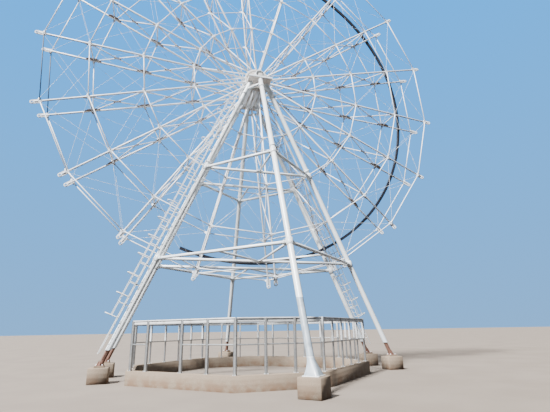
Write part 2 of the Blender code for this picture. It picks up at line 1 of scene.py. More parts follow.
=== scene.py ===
"""Looks of an observation wheel that is still being put up.

Each class below dresses one sub-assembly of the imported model: the spoke trusses, the rim ties and
tie rods, the drive ring, the hub, the bearing heads, legs and feet, the brace frames, the ladders,
and the station frame on its kerb. Sizes are in metres. X runs across the wheel, -Y is the front,
Z is up, and the wheel turns about Y at the hub.
"""

import json
import logging
from dataclasses import dataclass, field
from enum import Enum
from math import atan2, cos, hypot, pi, radians, sin

import bmesh
import bpy
from mathutils import Matrix, Vector


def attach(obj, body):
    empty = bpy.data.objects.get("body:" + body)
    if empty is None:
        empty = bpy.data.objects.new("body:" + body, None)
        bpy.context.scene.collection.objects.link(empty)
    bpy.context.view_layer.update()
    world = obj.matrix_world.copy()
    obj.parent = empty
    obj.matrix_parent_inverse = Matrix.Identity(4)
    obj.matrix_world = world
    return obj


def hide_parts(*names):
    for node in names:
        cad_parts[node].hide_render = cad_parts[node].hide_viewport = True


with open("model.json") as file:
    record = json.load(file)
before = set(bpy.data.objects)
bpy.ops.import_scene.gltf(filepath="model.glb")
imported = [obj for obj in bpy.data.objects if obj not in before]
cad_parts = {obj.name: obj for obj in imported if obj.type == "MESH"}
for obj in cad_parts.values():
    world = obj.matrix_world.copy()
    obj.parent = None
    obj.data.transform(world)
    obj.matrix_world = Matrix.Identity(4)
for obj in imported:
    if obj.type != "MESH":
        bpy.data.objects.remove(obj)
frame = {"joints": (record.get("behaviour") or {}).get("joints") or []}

LOG = logging.getLogger("wheel")
Colour = tuple[float, float, float, float]
Pair = tuple[float, float]
Triple = tuple[float, float, float]
Pairs = tuple[Pair, ...]
Ring = list[Vector]
Outline = list[Pair]
Tree = bpy.types.NodeTree
Node = bpy.types.Node
Socket = bpy.types.NodeSocket

X_AXIS = Vector((1.0, 0.0, 0.0))
Y_AXIS = Vector((0.0, 1.0, 0.0))
Z_AXIS = Vector((0.0, 0.0, 1.0))
SIDES = (-1.0, 1.0)
SHARP_ANGLE = radians(50.0)
PHOTO_WIDTH = 550
# How far pieces that touch stand apart or are let into each other
FIT = 0.001
# Share of a unit vector above which it counts as lying along an axis
NEARLY_ALONG = 0.9
# Share of a tube's width that is taken off its ends
TUBE_SOFTNESS = 0.04
# Keeps a division off zero
TINY = 1e-6
# Sockets of the mix node when it mixes colours
MIX_FACTOR, MIX_FIRST, MIX_SECOND, MIX_RESULT = 0, 6, 7, 2
# Sides, width, height and rise of a bolt's head, washer and stud, as shares of its size
BOLT_PARTS = ((6, 0.577, 1.0, 0.5), (10, 0.75, 0.25, 0.1), (6, 0.25, 1.7, 0.8))


class Body(Enum):
    """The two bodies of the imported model."""

    SUPPORT = "support"
    WHEEL = "wheel"


class Named(Enum):
    """Base of the choices whose words stand in the names of nodes."""

    @property
    def word(self) -> str:
        """Return the choice's word."""
        return self.name.lower()


class Face(Named):
    """The two faces of the wheel, by the sign of Y."""

    FRONT = -1.0
    BACK = 1.0


class Leg(Named):
    """The three legs of one tripod, by the sign of X."""

    LEFT = -1.0
    RIGHT = 1.0
    CENTRE = 0.0


class Bolt(Enum):
    """The bolts, each by its width across flats and the height of its head."""

    PLATE = (0.03, 0.016)
    ROOT = (0.045, 0.025)
    TIE = (0.032, 0.018)
    TURNBUCKLE = (0.030, 0.14)
    SPLICE = (0.028, 0.014)
    DRUM = (0.036, 0.016)
    SHAFT_END = (0.03, 0.014)
    FLANGE = (0.028, 0.018)
    ANCHOR = (0.05, 0.035)
    HOUSING = (0.046, 0.030)
    BLOCK_FOOT = (0.055, 0.035)
    COVER = (0.030, 0.018)
    SLEEVE = (0.034, 0.02)
    BRACE = (0.022, 0.014)
    POST = (0.024, 0.014)


def linear(code: str) -> Colour:
    """Turn an sRGB hex colour into the linear values that shaders take.

    Args:
        code: Six hex digits.

    Returns:
        Red, green, blue and alpha.
    """
    values = []
    for index in (0, 2, 4):
        share = int(code[index:index + 2], 16) / 255.0
        values.append(share / 12.92 if share <= 0.04045 else ((share + 0.055) / 1.055) ** 2.4)
    return (values[0], values[1], values[2], 1.0)


def add_node(tree: Tree, kind: str, values: dict[str | int, object] | None = None,
             links: dict[str | int, Socket] | None = None, **settings: object) -> Node:
    """Add one node with its settings and links.

    Args:
        tree: The node tree that gets the node.
        kind: The node's type name.
        values: Values by input name or index.
        links: Output sockets by input name or index.
        settings: The node's own properties.

    Returns:
        The new node.
    """
    node = tree.nodes.new(kind)
    for key, value in settings.items():
        setattr(node, key, value)
    for key, value in (values or {}).items():
        node.inputs[key].default_value = value
    for key, socket in (links or {}).items():
        tree.links.new(socket, node.inputs[key])
    return node


def times(tree: Tree, socket: Socket, share: float) -> Socket:
    """Return a socket's value times a fixed share."""
    node = add_node(tree, "ShaderNodeMath", {1: share}, {0: socket}, operation="MULTIPLY")
    return node.outputs[0]


def blended(tree: Tree, mask: Socket, first: Colour | Socket, second: Colour) -> Socket:
    """Return one colour laid over another where the mask is 1.

    Args:
        tree: The material's or the world's tree.
        mask: The mask, from 0 to 1.
        first: The colour below, or the socket that gives it.
        second: The colour on top.

    Returns:
        The blended colour.
    """
    values = {MIX_SECOND: second}
    links = {MIX_FACTOR: mask}
    if isinstance(first, Socket):
        links[MIX_FIRST] = first
    else:
        values[MIX_FIRST] = first
    return add_node(tree, "ShaderNodeMix", values, links, data_type="RGBA").outputs[MIX_RESULT]


@dataclass(frozen=True)
class Canvas:
    """One material while it is painted; its patterns are read at place."""

    tree: Tree
    shader: Node
    place: Socket

    def patches(self, size: float, low: float, high: float, stretch: float = 1.0) -> Socket:
        """Return a mask of soft patches.

        Args:
            size: How wide a patch is.
            low: Noise value below which the mask is 0.
            high: Noise value above which the mask is 1.
            stretch: How many times longer a patch is along Z.

        Returns:
            The mask, from 0 to 1.
        """
        scaled = add_node(self.tree, "ShaderNodeMapping", {"Scale": (1.0, 1.0, 1.0 / stretch)},
                          {"Vector": self.place})
        noise = add_node(self.tree, "ShaderNodeTexNoise", {"Scale": 1.0 / size, "Detail": 5.0},
                         {"Vector": scaled.outputs["Vector"]})
        mask = add_node(self.tree, "ShaderNodeMapRange", {"From Min": low, "From Max": high},
                        {"Value": noise.outputs["Fac"]}, interpolation_type="SMOOTHSTEP")
        return mask.outputs["Result"]

    def coat(self, below: str, *layers: tuple[Socket, str]) -> None:
        """Give the shader one colour with others laid over it.

        Args:
            below: The lowest colour, in sRGB hex.
            layers: The masks and colours of what lies over it, in order.
        """
        colour = linear(below)
        for mask, code in layers:
            colour = blended(self.tree, mask, colour, linear(code))
        self.tree.links.new(colour, self.shader.inputs["Base Color"])

    def bump(self, height: Socket, depth: float, strength: float) -> None:
        """Raise the surface by a pattern.

        Args:
            height: The pattern, from 0 to 1.
            depth: How high the pattern stands.
            strength: How much of it shows.
        """
        bump = add_node(self.tree, "ShaderNodeBump", {"Distance": depth, "Strength": strength},
                        {"Height": height})
        self.tree.links.new(bump.outputs["Normal"], self.shader.inputs["Normal"])

    def drive(self, name: str, mask: Socket, span: Pair) -> None:
        """Drive one of the shader's inputs by a mask."""
        ramp = add_node(self.tree, "ShaderNodeMapRange", {"To Min": span[0], "To Max": span[1]},
                        {"Value": mask})
        self.tree.links.new(ramp.outputs["Result"], self.shader.inputs[name])


class Finish:
    """Base of the finishes: it builds one procedural material, once."""

    made: dict[str, bpy.types.Material] = {}
    label: str

    def material(self) -> bpy.types.Material:
        """Return the finish's material, built at the first call.

        Returns:
            A material whose patterns read Object coordinates.
        """
        if self.label not in Finish.made:
            made = bpy.data.materials.new(self.label)
            made.use_nodes = True
            shader = made.node_tree.nodes["Principled BSDF"]
            place = add_node(made.node_tree, "ShaderNodeTexCoord").outputs["Object"]
            self.paint(Canvas(made.node_tree, shader, place))
            Finish.made[self.label] = made
        return Finish.made[self.label]

    def paint(self, canvas: Canvas) -> None:
        """Paint the canvas; each finish does this in its own way."""
        raise NotImplementedError


@dataclass(frozen=True)
class Enamel(Finish):
    """Two-pack enamel sprayed on steel: smooth and glossy, dulled by building dust."""

    label: str
    colour: str
    dust: str
    dust_size: float
    dust_low: float
    dust_high: float
    gloss: float
    streak: float
    dulling: float = 0.25
    scuffs_a_patch: float = 9.0
    scuff_range: Pair = (0.60, 0.72)
    scuff_share: float = 0.35
    ior: float = 1.5
    peel_size: float = 0.012
    peel_depth: float = 0.0006

    def paint(self, canvas: Canvas) -> None:
        """Lay dust patches, run marks and small scuffs over the enamel.

        Args:
            canvas: The material's canvas.
        """
        dust = canvas.patches(self.dust_size, self.dust_low, self.dust_high, self.streak)
        scuffs = canvas.patches(self.dust_size / self.scuffs_a_patch, *self.scuff_range, self.streak)
        canvas.coat(self.colour, (dust, self.dust),
                    (times(canvas.tree, scuffs, self.scuff_share), self.dust))
        canvas.drive("Roughness", dust, (self.gloss, self.gloss + self.dulling))
        canvas.shader.inputs["IOR"].default_value = self.ior
        canvas.bump(canvas.patches(self.peel_size, 0.2, 0.8), self.peel_depth, 0.35)


@dataclass(frozen=True)
class BareSteel(Finish):
    """Hot-rolled plate left unpainted: grey mill scale with a thin brown bloom of rust."""

    label: str
    scale: str
    bloom: str
    bloom_low: float
    bloom_high: float
    bloom_size: float = 0.12
    speck: str = "4A3A30"
    speck_size: float = 0.02
    speck_share: float = 0.4
    rough: Pair = (0.5, 0.85)
    metal: Pair = (0.55, 0.05)
    pit_depth: float = 0.0008

    def paint(self, canvas: Canvas) -> None:
        """Lay rust over mill scale, dull where it has rusted.

        Args:
            canvas: The material's canvas.
        """
        rust = canvas.patches(self.bloom_size, self.bloom_low, self.bloom_high)
        specks = canvas.patches(self.speck_size, 0.55, 0.65)
        canvas.coat(self.scale, (rust, self.bloom),
                    (times(canvas.tree, specks, self.speck_share), self.speck))
        canvas.drive("Roughness", rust, self.rough)
        canvas.drive("Metallic", rust, self.metal)
        canvas.bump(specks, self.pit_depth, 0.5)


@dataclass(frozen=True)
class ZincCoat(Finish):
    """Hot-dip galvanised steel: a dull bright metal with frost-like spangles."""

    label: str
    colour: str
    spangle: float
    rough: float
    bright: str = "D4D8DA"
    chalk: str = "E3E3DF"
    chalk_size: float = 0.30
    rough_spread: float = 0.15

    def paint(self, canvas: Canvas) -> None:
        """Tint each spangle a little differently, with dull patches of white rust.

        Args:
            canvas: The material's canvas.
        """
        cells = add_node(canvas.tree, "ShaderNodeTexVoronoi", {"Scale": 1.0 / self.spangle},
                         {"Vector": canvas.place})
        tone = add_node(canvas.tree, "ShaderNodeSeparateColor",
                        links={"Color": cells.outputs["Color"]})
        canvas.coat(self.colour, (tone.outputs[0], self.bright),
                    (canvas.patches(self.chalk_size, 0.52, 0.75), self.chalk))
        canvas.shader.inputs["Metallic"].default_value = 1.0
        canvas.drive("Roughness", tone.outputs[1], (self.rough, self.rough + self.rough_spread))


@dataclass(frozen=True)
class CastConcrete(Finish):
    """Concrete cast on site in board forms: chalky, pitted and stained by red soil."""

    label: str
    colour: str
    stain: str
    stain_top: float
    grit: str
    least_stain: float = 0.15
    blot_size: float = 0.35
    grit_size: float = 0.03
    holes_a_metre: float = 22.0
    boards_a_metre: float = 1.6
    rough: Pair = (0.82, 0.95)
    relief: float = 0.006

    def paint(self, canvas: Canvas) -> None:
        """Lay soil stains up from the ground, aggregate mottling, air holes and board marks.

        Args:
            canvas: The material's canvas.
        """
        tree, place = canvas.tree, {"Vector": canvas.place}
        height = add_node(tree, "ShaderNodeSeparateXYZ", links=place).outputs["Z"]
        low = add_node(tree, "ShaderNodeMapRange",
                       {"From Min": 0.0, "From Max": self.stain_top, "To Min": 1.0,
                        "To Max": self.least_stain}, {"Value": height})
        soil = add_node(tree, "ShaderNodeMath",
                        links={0: low.outputs["Result"],
                               1: canvas.patches(self.blot_size, 0.35, 0.65)}, operation="MULTIPLY")
        mottle = canvas.patches(self.grit_size, 0.4, 0.7)
        canvas.coat(self.colour, (mottle, self.grit), (soil.outputs[0], self.stain))
        holes = add_node(tree, "ShaderNodeTexVoronoi", {"Scale": self.holes_a_metre}, place)
        pits = add_node(tree, "ShaderNodeMapRange", {"From Min": 0.05, "From Max": 0.16},
                        {"Value": holes.outputs["Distance"]})
        boards = add_node(tree, "ShaderNodeTexWave",
                          {"Scale": self.boards_a_metre, "Distortion": 1.5, "Detail": 3.0}, place,
                          bands_direction="Z")
        surface = add_node(tree, "ShaderNodeMath",
                           links={0: pits.outputs["Result"], 1: boards.outputs["Fac"], 2: mottle},
                           operation="MULTIPLY_ADD")
        canvas.drive("Roughness", mottle, self.rough)
        canvas.bump(surface.outputs[0], self.relief, 0.5)


@dataclass(frozen=True)
class Screed(Finish):
    """Pale matt studio floor."""

    label: str
    colour: str
    shade: str
    mottle_size: float = 3.0
    rough: float = 0.9

    def paint(self, canvas: Canvas) -> None:
        """Give the floor a faint mottle."""
        canvas.coat(self.colour, (canvas.patches(self.mottle_size, 0.3, 0.7), self.shade))
        canvas.shader.inputs["Roughness"].default_value = self.rough


# White enamel of the wheel's tubes: bright and glossy, with a faint grey film of dust
WHEEL_PAINT = Enamel("white enamel on wheel tube", "F1F5FA", "CDCFD2", 0.9, 0.50, 0.85, 0.32, 1.0)
# The same enamel on the big leg tubes: cleaner and glossier, its dust drawn down in runs
LEG_PAINT = Enamel("white enamel on leg tube", "EDF3F6", "C6C8C6", 1.1, 0.52, 0.90, 0.25, 4.0)
# Brushed enamel on ladder bars: a little greyer and duller than the tubes
LADDER_PAINT = Enamel("white enamel on ladder bar", "E6E9EB", "B8B6B0", 0.5, 0.48, 0.80, 0.40, 1.0)
# Primer on the rolled channel: almost black, with a blue tinge and no shine
NAVY_PRIMER = Enamel("navy primer on rolled channel", "0E1424", "1D2433", 0.6, 0.50, 0.85, 0.60, 1.0)
# The wheel's enamel on the drum: chalky and cream-grey under the dust of the site
DRUM_COAT = Enamel("dusty enamel on hub plate", "DAD6D1", "A3978B", 0.5, 0.40, 0.75, 0.50, 1.0)
# Slate-grey primer on the two rim ties of one bay: they stand out dark in the white rim
GREY_PRIMER = Enamel("grey primer on tie tube", "2E3846", "3E4959", 0.6, 0.45, 0.80, 0.50, 1.0)
# Gusset and crossing plates: bare steel with a rust bloom, their brown-grey also darkened as painted
# shade from under the chords; dark spots along the white spokes
GUSSET_RUST_AND_SHADE = BareSteel("gusset plate with rust and painted shade", "7C7472", "84756C", 0.35, 0.70)
# Raw stubs at the feet: dark red-brown rust all over
FOOT_STEEL = BareSteel("rusted foot tube", "655047", "735245", 0.25, 0.55)
# Zinc-plated bolts and rods: small bright points, smoother than dipped zinc
BOLT_ZINC = ZincCoat("zinc-plated bolt", "C3C1B8", 0.01, 0.30)
# Dipped square tube of the station; its 8 mm spangles are drawn 30 mm wide so that they show
STATION_ZINC = ZincCoat("galvanised station tube", "989CA0", 0.03, 0.46, "B2B6B8", "BFC0BD")
# Coat on the upper half of the station posts: a dull white against the grey zinc below
STATION_WHITE = Enamel("white coat on station post", "DEE1E2", "B4B1AA", 0.4, 0.45, 0.80, 0.45, 1.0)
# Plinths and kerb: dull brown-grey, pitted, with board lines and red soil at the bottom
CONCRETE = CastConcrete("board-marked concrete", "7D6E5E", "725843", 0.5, "8D7E6C")
# Floor: an even warm grey that sets off the white tubes
FLOOR = Screed("pale matt floor", "7E7469", "776C62")
# Painted shade under the bearing heads: a warm cream beside the cooler white of the tubes, standing
# for warm light thrown up from below onto white paint
HEAD_UNDERSIDE_SHADE = Enamel("cream painted shade under bearing head", "F0E4DA", "D8C9BE", 0.4, 0.45, 0.80, 0.55, 1.0)
# Polyethylene film left round the front leg: cool grey, slack and half glossy
FILM = Enamel("polyethylene film on leg", "A6B1BA", "87929C", 0.25, 0.40, 0.70, 0.30, 2.0)


def node_tree(name: str, inputs: dict[str, tuple[str, object]]
              ) -> tuple[Tree, bpy.types.bpy_prop_collection]:
    """Start a Geometry Nodes tree with named inputs.

    Args:
        name: The tree's name.
        inputs: Socket type and default by input name, after the geometry.

    Returns:
        The tree, and the outputs of its Group Input node.
    """
    tree = bpy.data.node_groups.new(name, "GeometryNodeTree")
    tree.interface.new_socket("Geometry", in_out="INPUT", socket_type="NodeSocketGeometry")
    for word, (kind, default) in inputs.items():
        socket = tree.interface.new_socket(word, in_out="INPUT", socket_type=kind)
        if default is not None:
            socket.default_value = default
    tree.interface.new_socket("Geometry", in_out="OUTPUT", socket_type="NodeSocketGeometry")
    return tree, add_node(tree, "NodeGroupInput").outputs


def end_tree(tree: Tree, geometry: Socket, finish: Socket) -> None:
    """Close a tree with Realize Instances and Set Material.

    Args:
        tree: The tree.
        geometry: What it has made.
        finish: The socket that gives its material.
    """
    real = add_node(tree, "GeometryNodeRealizeInstances", links={"Geometry": geometry})
    dressed = add_node(tree, "GeometryNodeSetMaterial",
                       links={"Geometry": real.outputs["Geometry"], "Material": finish})
    add_node(tree, "NodeGroupOutput", links={"Geometry": dressed.outputs["Geometry"]})


def sweep_tree() -> Tree:
    """Build the tree that sweeps bars along edges and repeats them at a pitch.

    Returns:
        A tree for rods, rungs and hoops.
    """
    tree, given = node_tree("bars along edges", {
        "Width": ("NodeSocketFloat", 0.02), "Sides": ("NodeSocketInt", 12),
        "Count": ("NodeSocketInt", 1), "Pitch": ("NodeSocketVector", (0.0, 0.0, 0.0)),
        "Finish": ("NodeSocketMaterial", None)})
    path = add_node(tree, "GeometryNodeMeshToCurve", links={"Mesh": given["Geometry"]})
    circle = add_node(tree, "GeometryNodeCurvePrimitiveCircle",
                      links={"Resolution": given["Sides"],
                             "Radius": times(tree, given["Width"], 0.5)})
    bar = add_node(tree, "GeometryNodeCurveToMesh", {"Fill Caps": True},
                   {"Curve": path.outputs["Curve"], "Profile Curve": circle.outputs["Curve"]})
    spots = add_node(tree, "GeometryNodeMeshLine",
                     links={"Count": given["Count"], "Offset": given["Pitch"]})
    row = add_node(tree, "GeometryNodeInstanceOnPoints",
                   links={"Points": spots.outputs["Mesh"], "Instance": bar.outputs["Mesh"]})
    end_tree(tree, row.outputs["Instances"], given["Finish"])
    return tree


def fastener_tree() -> Tree:
    """Build the tree that puts a hex head, washer and stud on each point.

    Returns:
        A tree whose points carry the way they face in the attribute "facing".
    """
    tree, given = node_tree("bolts on points", {
        "Width": ("NodeSocketFloat", 0.03), "Height": ("NodeSocketFloat", 0.02),
        "Finish": ("NodeSocketMaterial", None)})
    solids = []
    for sides, wide, tall, lift in BOLT_PARTS:
        drum = add_node(tree, "GeometryNodeMeshCylinder", {"Vertices": sides},
                        {"Radius": times(tree, given["Width"], wide),
                         "Depth": times(tree, given["Height"], tall)})
        move = add_node(tree, "ShaderNodeCombineXYZ",
                        links={"Z": times(tree, given["Height"], lift)})
        solids.append(add_node(tree, "GeometryNodeTransform",
                               links={"Geometry": drum.outputs["Mesh"],
                                      "Translation": move.outputs[0]}))
    bolt = add_node(tree, "GeometryNodeJoinGeometry")
    for solid in solids:
        tree.links.new(solid.outputs["Geometry"], bolt.inputs[0])
    facing = add_node(tree, "GeometryNodeInputNamedAttribute", {"Name": "facing"},
                      data_type="FLOAT_VECTOR")
    turn = add_node(tree, "FunctionNodeAlignRotationToVector",
                    links={"Vector": facing.outputs["Attribute"]}, axis="Z")
    row = add_node(tree, "GeometryNodeInstanceOnPoints",
                   links={"Points": given["Geometry"], "Instance": bolt.outputs[0],
                          "Rotation": turn.outputs["Rotation"]})
    end_tree(tree, row.outputs["Instances"], given["Finish"])
    return tree


SWEEP = sweep_tree()
FASTENERS = fastener_tree()


def linked(name: str, data: bpy.types.ID) -> bpy.types.Object:
    """Return a new object that is linked to the scene.

    Args:
        name: The object's name.
        data: Its mesh, lamp or camera.

    Returns:
        The object.
    """
    made = bpy.data.objects.new(name, data)
    bpy.context.scene.collection.objects.link(made)
    return made


def grown(mesh: bpy.types.Mesh, tree: Tree, values: dict[str, object]) -> bpy.types.Mesh:
    """Run a Geometry Nodes tree on a mesh and return the plain result.

    Args:
        mesh: The edges or points that the tree starts from.
        tree: The tree.
        values: Its inputs by name.

    Returns:
        A mesh that no longer needs the tree.
    """
    seed = linked("seed", mesh)
    nodes = seed.modifiers.new("nodes", "NODES")
    nodes.node_group = tree
    for socket in tree.interface.items_tree:
        if socket.in_out == "INPUT" and socket.name in values:
            nodes[socket.identifier] = values[socket.name]
    ready = seed.evaluated_get(bpy.context.evaluated_depsgraph_get())
    result = bpy.data.meshes.new_from_object(ready)
    seed.modifiers.remove(nodes)
    bpy.data.objects.remove(seed)
    bpy.data.meshes.remove(mesh)
    return result


def across(direction: Vector, side: Vector) -> tuple[Vector, Vector]:
    """Return two unit vectors across a direction.

    Args:
        direction: The direction, of any length.
        side: Which way the first vector points, as nearly as it can.

    Returns:
        The two unit vectors.
    """
    along = direction.normalized()
    first = (side - along * side.dot(along)).normalized()
    return first, along.cross(first)


def half_steps(count: int) -> list[float]:
    """Return the angles of evenly spaced corners, the first one half a step round."""
    return [2.0 * pi * (index + 0.5) / count for index in range(count)]


def circle(centre: Vector, ways: tuple[Vector, Vector], radius: float, count: int) -> Ring:
    """Return evenly spaced points round a centre.

    Args:
        centre: The centre.
        ways: Two unit vectors in the circle's plane.
        radius: The circle's radius.
        count: How many points it has.

    Returns:
        The points, in order.
    """
    return [centre + (ways[0] * cos(angle) + ways[1] * sin(angle)) * radius
            for angle in half_steps(count)]


def rectangle(wide: float, deep: float) -> Outline:
    """Return the corners of a rectangle by its half sizes."""
    return [(-wide, -deep), (wide, -deep), (wide, deep), (-wide, deep)]


def clipped(long: float, wide: float, flat: float, end: float = 0.5) -> Outline:
    """Return the outline of a plate whose four corners are cut off.

    Args:
        long: Half the plate's length.
        wide: Half its width.
        flat: Share of the length that its long edges keep.
        end: Share of the width that its ends keep.

    Returns:
        Eight corners.
    """
    return [(-long, -end * wide), (-flat * long, -wide), (flat * long, -wide), (long, -end * wide),
            (long, end * wide), (flat * long, wide), (-flat * long, wide), (-long, end * wide)]


class Sketch:
    """Corners, faces and finishes of one piece while it is being drawn."""

    def __init__(self) -> None:
        """Start an empty sketch."""
        self.verts: list[Vector] = []
        self.faces: list[tuple[int, ...]] = []
        self.marks: list[int] = []
        self.finishes: list[bpy.types.Material] = []
        self.bolts: dict[tuple[Bolt, Finish], list[tuple[Vector, Vector]]] = {}
        self.paths: dict[tuple[float, Finish, int, int, tuple[float, ...]], list[Ring]] = {}

    def mark(self, finish: bpy.types.Material) -> int:
        """Return a finish's index in the piece, adding it when it is new.

        Args:
            finish: The finish's material.

        Returns:
            Its index in the piece.
        """
        if finish not in self.finishes:
            self.finishes.append(finish)
        return self.finishes.index(finish)

    def loft(self, rings: list[Ring], finish: Finish, closed: bool = False) -> None:
        """Draw a solid through rings with equal corner counts.

        Args:
            rings: The sections, in order.
            finish: The solid's finish.
            closed: Whether the last section joins the first.
        """
        count = len(rings[0])
        base = len(self.verts)
        for ring in rings:
            self.verts.extend(ring)
        faces = []
        for span in range(len(rings) if closed else len(rings) - 1):
            here = base + span * count
            there = base + (span + 1) % len(rings) * count
            for index in range(count):
                after = (index + 1) % count
                faces.append((here + index, here + after, there + after, there + index))
        if not closed:
            last = base + (len(rings) - 1) * count
            faces.append(tuple(range(base + count - 1, base - 1, -1)))
            faces.append(tuple(range(last, last + count)))
        self.faces.extend(faces)
        self.marks.extend([self.mark(finish.material())] * len(faces))

    def lathe(self, start: Vector, direction: Vector, profile: Outline, finish: Finish,
              sides: int = 24, side: Vector = Z_AXIS, closed: bool = False) -> None:
        """Draw a turned solid.

        Args:
            start: Where distance 0 lies.
            direction: The way that the distance grows.
            profile: Pairs of distance and radius.
            finish: The solid's finish.
            sides: How many sides the solid has.
            side: A direction that one flat faces.
            closed: Whether the profile is a loop, as on a pipe or a ring.
        """
        ways = across(direction, side)
        along = direction.normalized()
        self.loft([circle(start + along * distance, ways, radius, sides)
                   for distance, radius in profile], finish, closed)

    def tube(self, start: Vector, end: Vector, width: float, finish: Finish,
             sides: int = 24) -> None:
        """Draw a round bar with softened ends between two points.

        Args:
            start: Middle of one end.
            end: Middle of the other end.
            width: The bar's width.
            finish: The bar's finish.
            sides: How many sides the bar has.
        """
        length = (end - start).length
        soft = width * TUBE_SOFTNESS
        half = width / 2.0
        steep = abs((end - start).normalized().dot(Z_AXIS)) > NEARLY_ALONG
        self.lathe(start, end - start, [(0.0, half - soft), (soft, half), (length - soft, half),
                                        (length, half - soft)], finish, sides,
                   X_AXIS if steep else Z_AXIS)

    def bar(self, start: Vector, end: Vector, width: float, depth: float, side: Vector,
            finish: Finish, soft: float = 0.004) -> None:
        """Draw a rectangular bar with softened edges.

        Args:
            start: Middle of one end.
            end: Middle of the other end.
            width: Size along side.
            depth: Size across side.
            side: Which way the width runs.
            finish: The bar's finish.
            soft: How far the edges are taken off.
        """
        first, second = across(end - start, side)
        wide = width / 2.0
        deep = depth / 2.0
        spots = [(wide - soft, deep), (wide, deep - soft), (wide, soft - deep),
                 (wide - soft, -deep), (soft - wide, -deep), (-wide, soft - deep),
                 (-wide, deep - soft), (soft - wide, deep)]
        section = [first * a + second * b for a, b in spots]
        self.loft([[start + spot for spot in section], [end + spot for spot in section]], finish)

    def plate(self, outline: Outline, origin: Vector, first: Vector, second: Vector,
              thickness: float, finish: Finish, soft: float = 0.002) -> None:
        """Draw a flat plate with softened edges.

        Args:
            outline: Corners, as distances along first and second.
            origin: Where the distances start, in the middle of the thickness.
            first: First direction in the plate.
            second: Second direction in the plate.
            thickness: The plate's thickness.
            finish: The plate's finish.
            soft: How far the edges are taken off.
        """
        normal = first.cross(second).normalized()
        middle_a = sum(a for a, b in outline) / len(outline)
        middle_b = sum(b for a, b in outline) / len(outline)
        reach = max(hypot(a - middle_a, b - middle_b) for a, b in outline)
        shrink = 1.0 - soft / reach
        half = thickness / 2.0
        rings = []
        for depth, share in ((-half, shrink), (soft - half, 1.0), (half - soft, 1.0), (half, shrink)):
            rings.append([origin + first * (middle_a + (a - middle_a) * share)
                          + second * (middle_b + (b - middle_b) * share) + normal * depth
                          for a, b in outline])
        self.loft(rings, finish)

    def bolt(self, spot: Vector, facing: Vector, size: Bolt, finish: Finish | None = None) -> None:
        """Note a bolt, which the fastener tree makes when the sketch is finished."""
        self.bolts.setdefault((size, finish or BOLT_ZINC), []).append((spot, facing))

    def through_bolt(self, spot: Vector, normal: Vector, half: float, size: Bolt) -> None:
        """Note a bolt's head and nut on the two sides of a plate."""
        for side in SIDES:
            self.bolt(spot + normal * side * half, normal * side, size)

    def circle_of_bolts(self, centre: Vector, facing: Vector, radius: float, count: int,
                        size: Bolt) -> None:
        """Note a ring of bolts about an axis.

        Args:
            centre: The ring's centre.
            facing: The way that the bolts face.
            radius: The ring's radius.
            count: How many bolts it has.
            size: Which bolts they are.
        """
        sideways = abs(facing.normalized().x) < NEARLY_ALONG
        for spot in circle(centre, across(facing, X_AXIS if sideways else Z_AXIS), radius, count):
            self.bolt(spot, facing.normalized(), size)

    def path(self, points: Ring, width: float, finish: Finish, sides: int = 8, count: int = 1,
             pitch: Vector | None = None) -> None:
        """Note a bar along a path, which the sweep tree makes when the sketch is finished."""
        key = (width, finish, sides, count, tuple(pitch or Vector()))
        self.paths.setdefault(key, []).append(points)

    def absorb(self, mesh: bpy.types.Mesh) -> None:
        """Take over the faces of a finished mesh and remove it.

        Args:
            mesh: The mesh, with one material.
        """
        base = len(self.verts)
        self.verts.extend(vert.co.copy() for vert in mesh.vertices)
        mark = self.mark(mesh.materials[0])
        for polygon in mesh.polygons:
            self.faces.append(tuple(base + index for index in polygon.vertices))
            self.marks.append(mark)
        bpy.data.meshes.remove(mesh)

    def grow(self) -> None:
        """Turn the noted bolts and paths into faces with Geometry Nodes."""
        for (size, finish), spots in self.bolts.items():
            width, height = size.value
            points = bpy.data.meshes.new("points")
            points.from_pydata([spot for spot, facing in spots], [], [])
            facing = points.attributes.new("facing", "FLOAT_VECTOR", "POINT")
            facing.data.foreach_set("vector", [value for spot, way in spots for value in way])
            self.absorb(grown(points, FASTENERS, {"Width": width, "Height": height,
                                                  "Finish": finish.material()}))
        for (width, finish, sides, count, pitch), rings in self.paths.items():
            edges = []
            spots = []
            for ring in rings:
                edges += [(len(spots) + step, len(spots) + step + 1)
                          for step in range(len(ring) - 1)]
                spots += ring
            lines = bpy.data.meshes.new("lines")
            lines.from_pydata(spots, edges, [])
            self.absorb(grown(lines, SWEEP, {"Width": width, "Sides": sides, "Count": count,
                                             "Pitch": pitch, "Finish": finish.material()}))
        self.bolts = {}
        self.paths = {}

    def mesh(self, name: str) -> bpy.types.Mesh:
        """Return the finished mesh, its faces out and its round parts smooth.

        Args:
            name: The mesh's name.

        Returns:
            A mesh with the sketch's finishes.
        """
        self.grow()
        made = bpy.data.meshes.new(name)
        made.from_pydata(self.verts, [], self.faces)
        made.polygons.foreach_set("material_index", self.marks)
        shape = bmesh.new()
        shape.from_mesh(made)
        bmesh.ops.recalc_face_normals(shape, faces=shape.faces)
        shape.to_mesh(made)
        shape.free()
        for finish in self.finishes:
            made.materials.append(finish)
        made.shade_smooth()
        made.set_sharp_from_angle(angle=SHARP_ANGLE)
        return made


def put(name: str, mesh: bpy.types.Mesh, body: Body, slot: str, *nodes: str) -> bpy.types.Object:
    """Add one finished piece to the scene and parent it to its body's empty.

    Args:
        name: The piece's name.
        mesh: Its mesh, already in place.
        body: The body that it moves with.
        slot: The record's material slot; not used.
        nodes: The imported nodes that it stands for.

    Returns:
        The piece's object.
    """
    piece = linked(name, mesh)
    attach(piece, body.value)
    if nodes:
        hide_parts(*nodes)
    LOG.info("%s: %d faces on %s", name, len(mesh.polygons), body.value)
    return piece


